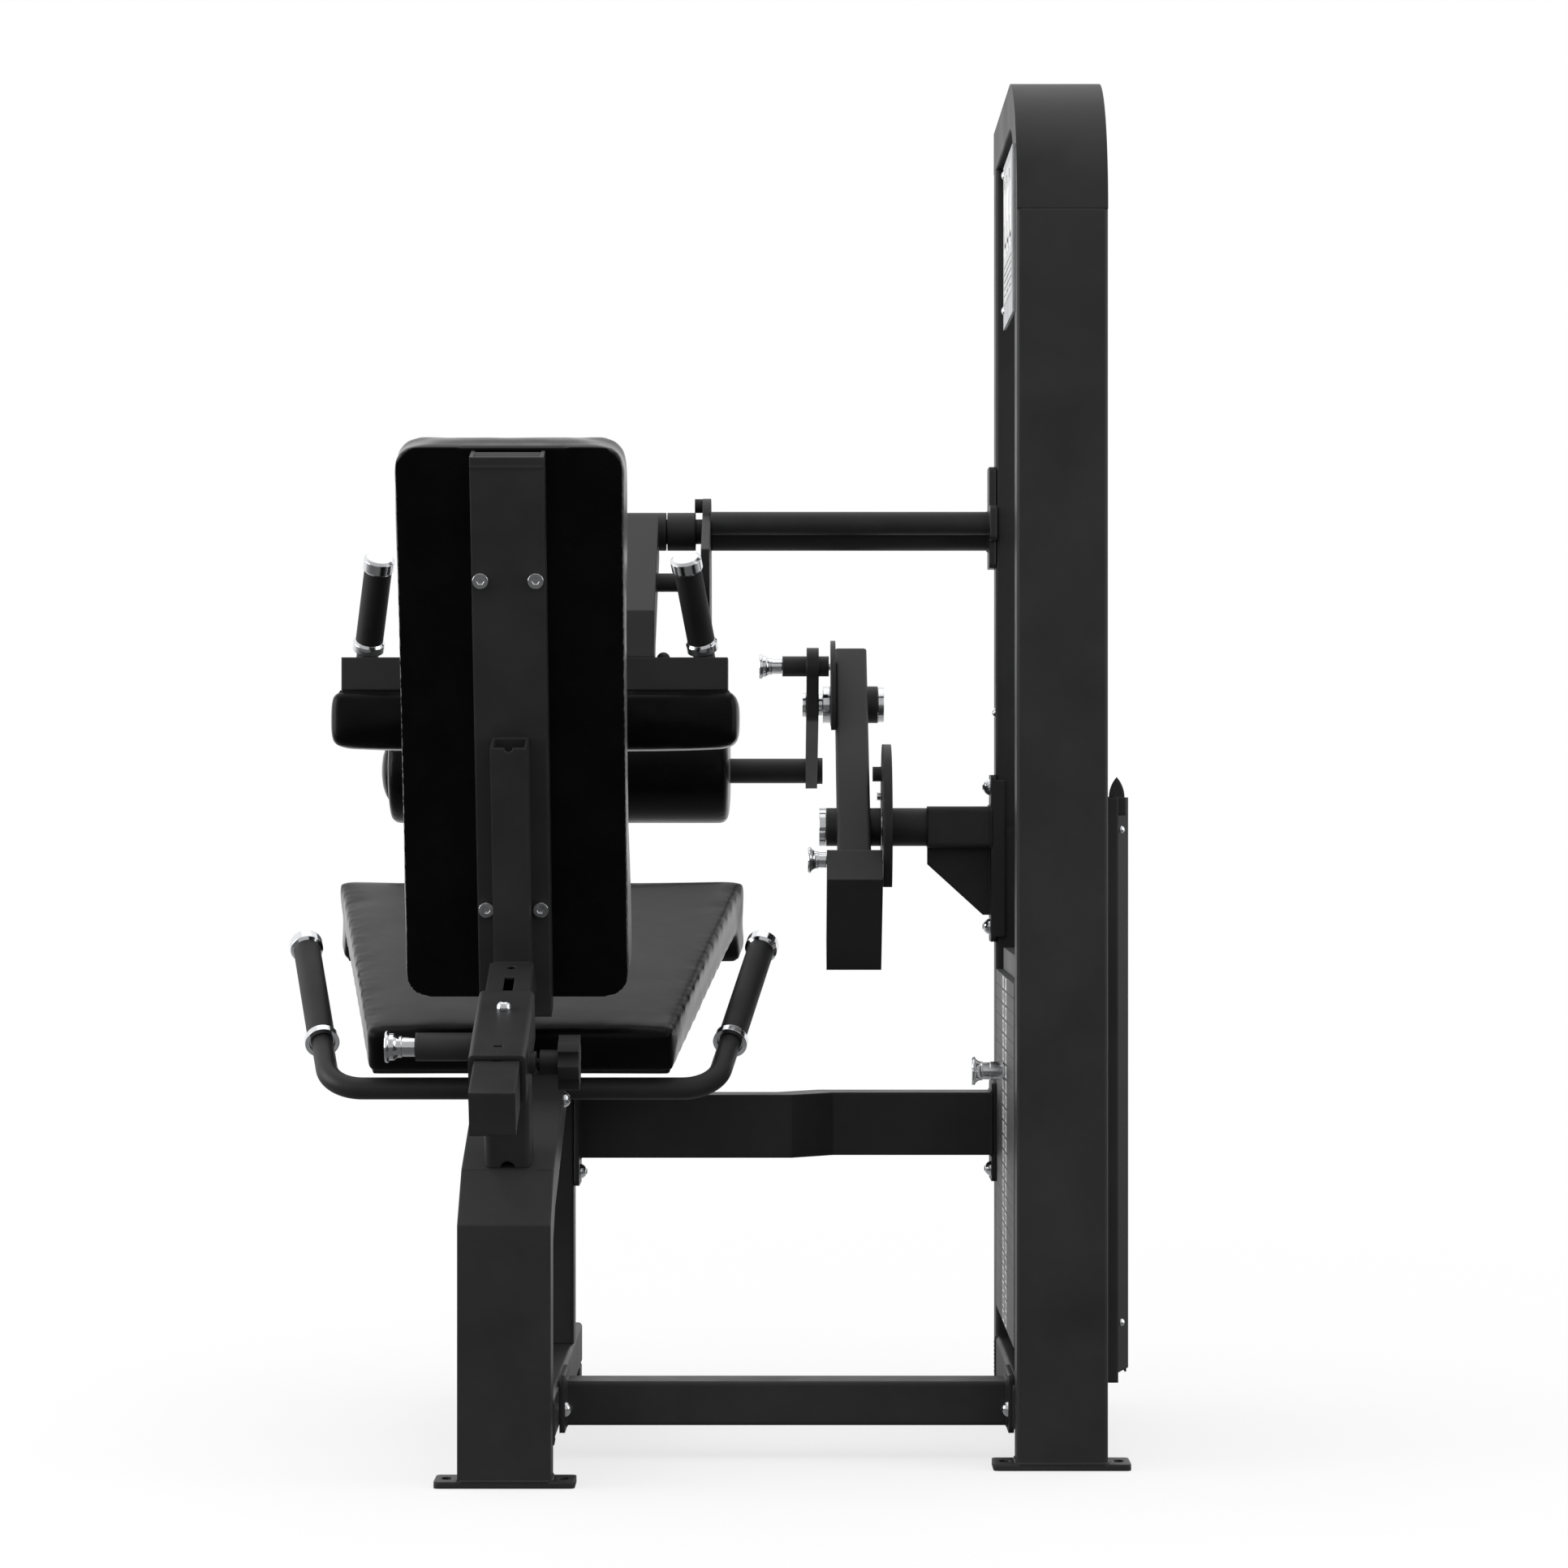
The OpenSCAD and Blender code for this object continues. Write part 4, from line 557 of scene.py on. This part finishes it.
# Bolt heads of the frame: place of the face, the way it looks along x, rise of the head
BOLT_HEADS = (
    (-TUBE_HALF, 280, 395, -1, 8),
    (TUBE_HALF, 280, 395, 1, 8),
    (SEAT_FLANGE, 190, 58, 1, 8),
    (TOWER_FLANGE, 190, 58, -1, 8),
    (SEAT_FLANGE, 267, 58, 1, 8),
    (TOWER_FLANGE, 267, 58, -1, 8),
    (SEAT_FLANGE, 550, 290, 1, 8),
    (TOWER_FLANGE, 590, 290, -1, 8),
    (TOWER_FLANGE, 615, 580, -1, 9),
    (TOWER_FLANGE, 615, 748, -1, 9),
)


def bolt_socket_shade(radius=3.4, height=1.0, sunk=0.9):
    """Dark six-sided discs on the round bolt heads of the frame: painted shade for their socket
    recesses.
    """
    bm = bmesh.new()
    for x, y, z, way, rise in BOLT_HEADS:
        # Each hexagon sits almost flush on its head, and its dark colour is painted shade for the
        # recess
        prism_into(bm, (x + way * (rise - sunk), y, z), (way, 0, 0), radius, height, 6)
    mesh_piece("bolt_socket_shade", bm, SOCKET_SHADE, "frame")


bolt_socket_shade()


def lathe_into(bm, outline, place, axis, steps=48):
    """Turns an outline of (radius, rise) pairs round an axis through a point."""
    turn = Matrix.Translation(at(*place)) @ turned_to(axis)
    rings = []
    for k in range(steps):
        a = 2 * math.pi * k / steps
        rings.append([bm.verts.new(turn @ (Vector((r * math.cos(a), r * math.sin(a), h)) * MM))
                      for r, h in outline])
    for k in range(steps):
        for i in range(len(outline) - 1):
            bm.faces.new((rings[k][i], rings[(k + 1) % steps][i],
                          rings[(k + 1) % steps][i + 1], rings[k][i + 1]))
    bmesh.ops.remove_doubles(bm, verts=bm.verts, dist=1e-6)


def roller_end_cap():
    """Domed plastic cap on the free end of the foam roller."""
    roller_end = (-211.0, 1008.81, 768.989)
    dome = [(0.0, 11.6), (12.0, 11.2), (22.0, 9.6), (31.0, 6.6), (36.5, 3.6),
            (38.6, 1.2), (38.2, 0.0), (30.0, -0.5), (0.0, -0.5)]
    bm = bmesh.new()
    lathe_into(bm, dome, roller_end, (-1, 0, 0))
    shade_smooth(mesh_piece("roller_end_cap", bm, CAP, "roller"))


roller_end_cap()


def rounded_route(half_u, half_v, radius, step=2.5):
    """Points round a rectangle with round corners, in its own plane."""
    corners = []
    for side_u, side_v, start in ((1, 1, 0), (-1, 1, 90), (-1, -1, 180), (1, -1, 270)):
        for k in range(4):
            a = math.radians(start + 30 * k)
            corners.append(((half_u - radius) * side_u + radius * math.cos(a),
                            (half_v - radius) * side_v + radius * math.sin(a)))
    line = []
    for k, p in enumerate(corners):
        q = corners[(k + 1) % len(corners)]
        steps = max(1, round(math.dist(p, q) / step))
        line += [(p[0] + (q[0] - p[0]) * t / steps, p[1] + (q[1] - p[1]) * t / steps)
                 for t in range(steps)]
    return line


def weld_into(bm, middle, half_u, half_v, axis_u, axis_v, radius, throat=2.2):
    """A weld bead round a rounded rectangle, with the ripples that the torch leaves."""
    swollen, thin, sides = 1.14, 0.92, 6
    u, v = Vector(axis_u), Vector(axis_v)
    n = u.cross(v)
    line = rounded_route(half_u, half_v, radius)
    rings = []
    for k, p in enumerate(line):
        q, o = line[(k + 1) % len(line)], line[k - 1]
        along = (u * (q[0] - o[0]) + v * (q[1] - o[1])).normalized()
        out = along.cross(n)
        size = throat * (swollen if k % 2 else thin)
        spot = Vector(middle) + u * p[0] + v * p[1]
        turns = [2 * math.pi * c / sides for c in range(sides)]
        rings.append([bm.verts.new(at(*(spot + (out * math.cos(b) + n * math.sin(b)) * size)))
                      for b in turns])
    for k, a in enumerate(rings):
        b = rings[(k + 1) % len(rings)]
        for c in range(sides):
            bm.faces.new((a[c], a[(c + 1) % sides], b[(c + 1) % sides], b[c]))


# Welds: middle, half length and half width, the two directions they run in, corner radius
ALONG_X, ALONG_Y, ALONG_Z = (1, 0, 0), (0, 1, 0), (0, 0, 1)
WELDS = (
    # Uprights on their foot plates
    ((0, 25.4, 7.2), 50, 25, ALONG_X, ALONG_Y, 5),
    ((TOWER_MID, 145.4, 7.2), 50, 25, ALONG_X, ALONG_Y, 5),
    ((TOWER_MID, 620, 7.2), 50, 25, ALONG_X, ALONG_Y, 5),
    # Base beams on the uprights
    ((TOWER_MID, 170, 63), 50, 25, ALONG_X, ALONG_Z, 5),
    ((TOWER_MID, 595, 63), 50, 25, ALONG_X, ALONG_Z, 5),
    ((0, 50.3, 63), 50, 25, ALONG_X, ALONG_Z, 5),
    # Crossbeams on their flanges
    ((SEAT_FLANGE, 228.5, 62), 26.5, 24.5, ALONG_Y, ALONG_Z, 4),
    ((TOWER_FLANGE, 228.5, 62), 26.5, 24.5, ALONG_Y, ALONG_Z, 4),
    ((SEAT_FLANGE, 561, 344.5), 25, 37.5, ALONG_Y, ALONG_Z, 3),
    ((TOWER_FLANGE, 601, 344.5), 25, 37.5, ALONG_Y, ALONG_Z, 3),
    # Pivot bracket and upper hold-down bar
    ((TOWER_FLANGE, 615, 700), 25, 25, ALONG_Y, ALONG_Z, 6),
    ((545.8, 620, 1057), 23, 23, ALONG_Y, ALONG_Z, 22.9),
)


def frame_welds():
    """Beads where the tubes meet their foot plates, flanges and each other."""
    bm = bmesh.new()
    for weld in WELDS:
        weld_into(bm, *weld)
    shade_smooth(mesh_piece("weld_beads", bm, PAINT, "frame"))


frame_welds()

# Camera: level, at the photograph's place, with a long lens

LENS = 100.0
SENSOR = 36.0
CAMERA_AT = at(299.0, -4648.0, 752.0)

cam_data = bpy.data.cameras.new("photo camera")
cam_data.lens = LENS
cam_data.sensor_width = SENSOR
cam_data.clip_end = 100.0
camera = bpy.data.objects.new("photo camera", cam_data)
camera.location = CAMERA_AT
camera.rotation_euler = (math.radians(90), 0, 0)
bpy.context.scene.collection.objects.link(camera)
bpy.context.scene.camera = camera

# Floor, lamps and world

# The floor's colour for the camera and for light; how much it glows near the machine
FLOOR_SEEN = (0.9, 0.9, 0.9)
FLOOR_LIT = (0.2, 0.2, 0.2)
GLOW_NEAR = 0.72
GLOW_REACH = (0.9, 2.6)
# Brightness of the world for diffuse light, and of what shiny faces mirror behind the camera
WORLD_SOFT = 0.86
MIRROR_DARK = 0.5
FLOOR_MIRROR_DARK = 0.12


def white_backdrop_floor():
    """Pale floor that goes over into the white background but keeps the object's shadow."""
    bpy.ops.mesh.primitive_plane_add(size=60.0, location=(0, 0, -0.0005))
    floor = bpy.context.object
    floor.name = "studio_floor"
    m, b = new_material("pale floor", FLOOR_SEEN, 0.9, specular=0.1)
    speck = noise(m, scale=40.0, detail=3.0, rough=0.6)
    rays = add(m, "ShaderNodeLightPath").outputs
    pale = mix(m, speck, FLOOR_SEEN, tuple(c + 0.03 for c in FLOOR_SEEN))
    link(m, mix(m, rays["Is Camera Ray"], FLOOR_LIT, pale), b.inputs["Base Color"])
    # Seen from afar the floor glows plain white, and close by only in part, so shadows stay
    spot = add(m, "ShaderNodeNewGeometry").outputs["Position"]
    away = add(m, "ShaderNodeVectorMath", operation="LENGTH")
    link(m, spot, away.inputs[0])
    glow = spread(m, away.outputs["Value"], GLOW_NEAR, 1.0, *GLOW_REACH)
    share = maths(m, "MULTIPLY", glow, rays["Is Camera Ray"])
    covered = maths(m, "MAXIMUM", share, rays["Is Glossy Ray"])
    # Mirrored, it fades towards the camera's side as the world does
    place = add(m, "ShaderNodeSeparateXYZ")
    link(m, spot, place.inputs[0])
    faded = spread(m, place.outputs["Y"], FLOOR_MIRROR_DARK, 0.9, start=-0.6, end=2.5)
    white = add(m, "ShaderNodeEmission")
    link(m, mix(m, rays["Is Glossy Ray"], 1.0, faded, "FLOAT"), white.inputs["Strength"])
    blend = add(m, "ShaderNodeMixShader")
    link(m, covered, blend.inputs["Fac"])
    link(m, b.outputs["BSDF"], blend.inputs[1])
    link(m, white.outputs["Emission"], blend.inputs[2])
    link(m, blend.outputs["Shader"], m.node_tree.nodes["Material Output"].inputs["Surface"])
    floor.data.materials.append(m)


def soft_lamp(name, place, aim, size, power):
    """A broad lamp that looks at a point."""
    data = bpy.data.lights.new(name, "AREA")
    data.shape = "RECTANGLE"
    data.size, data.size_y = size
    data.energy = power
    lamp = bpy.data.objects.new(name, data)
    lamp.location = place
    lamp.rotation_euler = (Vector(aim) - Vector(place)).to_track_quat("-Z", "Y").to_euler()
    bpy.context.scene.collection.objects.link(lamp)


def studio_world():
    """White for the camera; soft for diffuse light; mirrored light fades behind the camera."""
    world = bpy.data.worlds.new("studio world")
    bpy.context.scene.world = world
    world.use_nodes = True
    rays = add(world, "ShaderNodeLightPath").outputs
    shiny = maths(world, "MAXIMUM", rays["Is Glossy Ray"], rays["Is Transmission Ray"])
    axes = add(world, "ShaderNodeSeparateXYZ")
    link(world, add(world, "ShaderNodeTexCoord").outputs["Generated"], axes.inputs[0])
    ahead = spread(world, axes.outputs["Y"], MIRROR_DARK, 1.0, start=-0.75, end=0.35,
                   curve="SMOOTHSTEP")
    lighting = mix(world, shiny, WORLD_SOFT, ahead, "FLOAT")
    strength = mix(world, rays["Is Camera Ray"], lighting, 1.0, "FLOAT")
    background = world.node_tree.nodes["Background"]
    set_inputs(background, Color=(1, 1, 1, 1))
    link(world, strength, background.inputs["Strength"])


white_backdrop_floor()
soft_lamp("top lamp", (0.0, 0.2, 4.2), aim=(0, 0, 0.5), size=(4.0, 4.0), power=22.0)
soft_lamp("left lamp", (-3.6, -0.6, 1.6), aim=(0, 0, 0.8), size=(2.5, 2.5), power=70.0)
soft_lamp("right lamp", (3.6, -1.2, 1.8), aim=(0, 0, 0.8), size=(2.0, 2.5), power=35.0)
studio_world()

bpy.context.scene.view_settings.view_transform = "Standard"
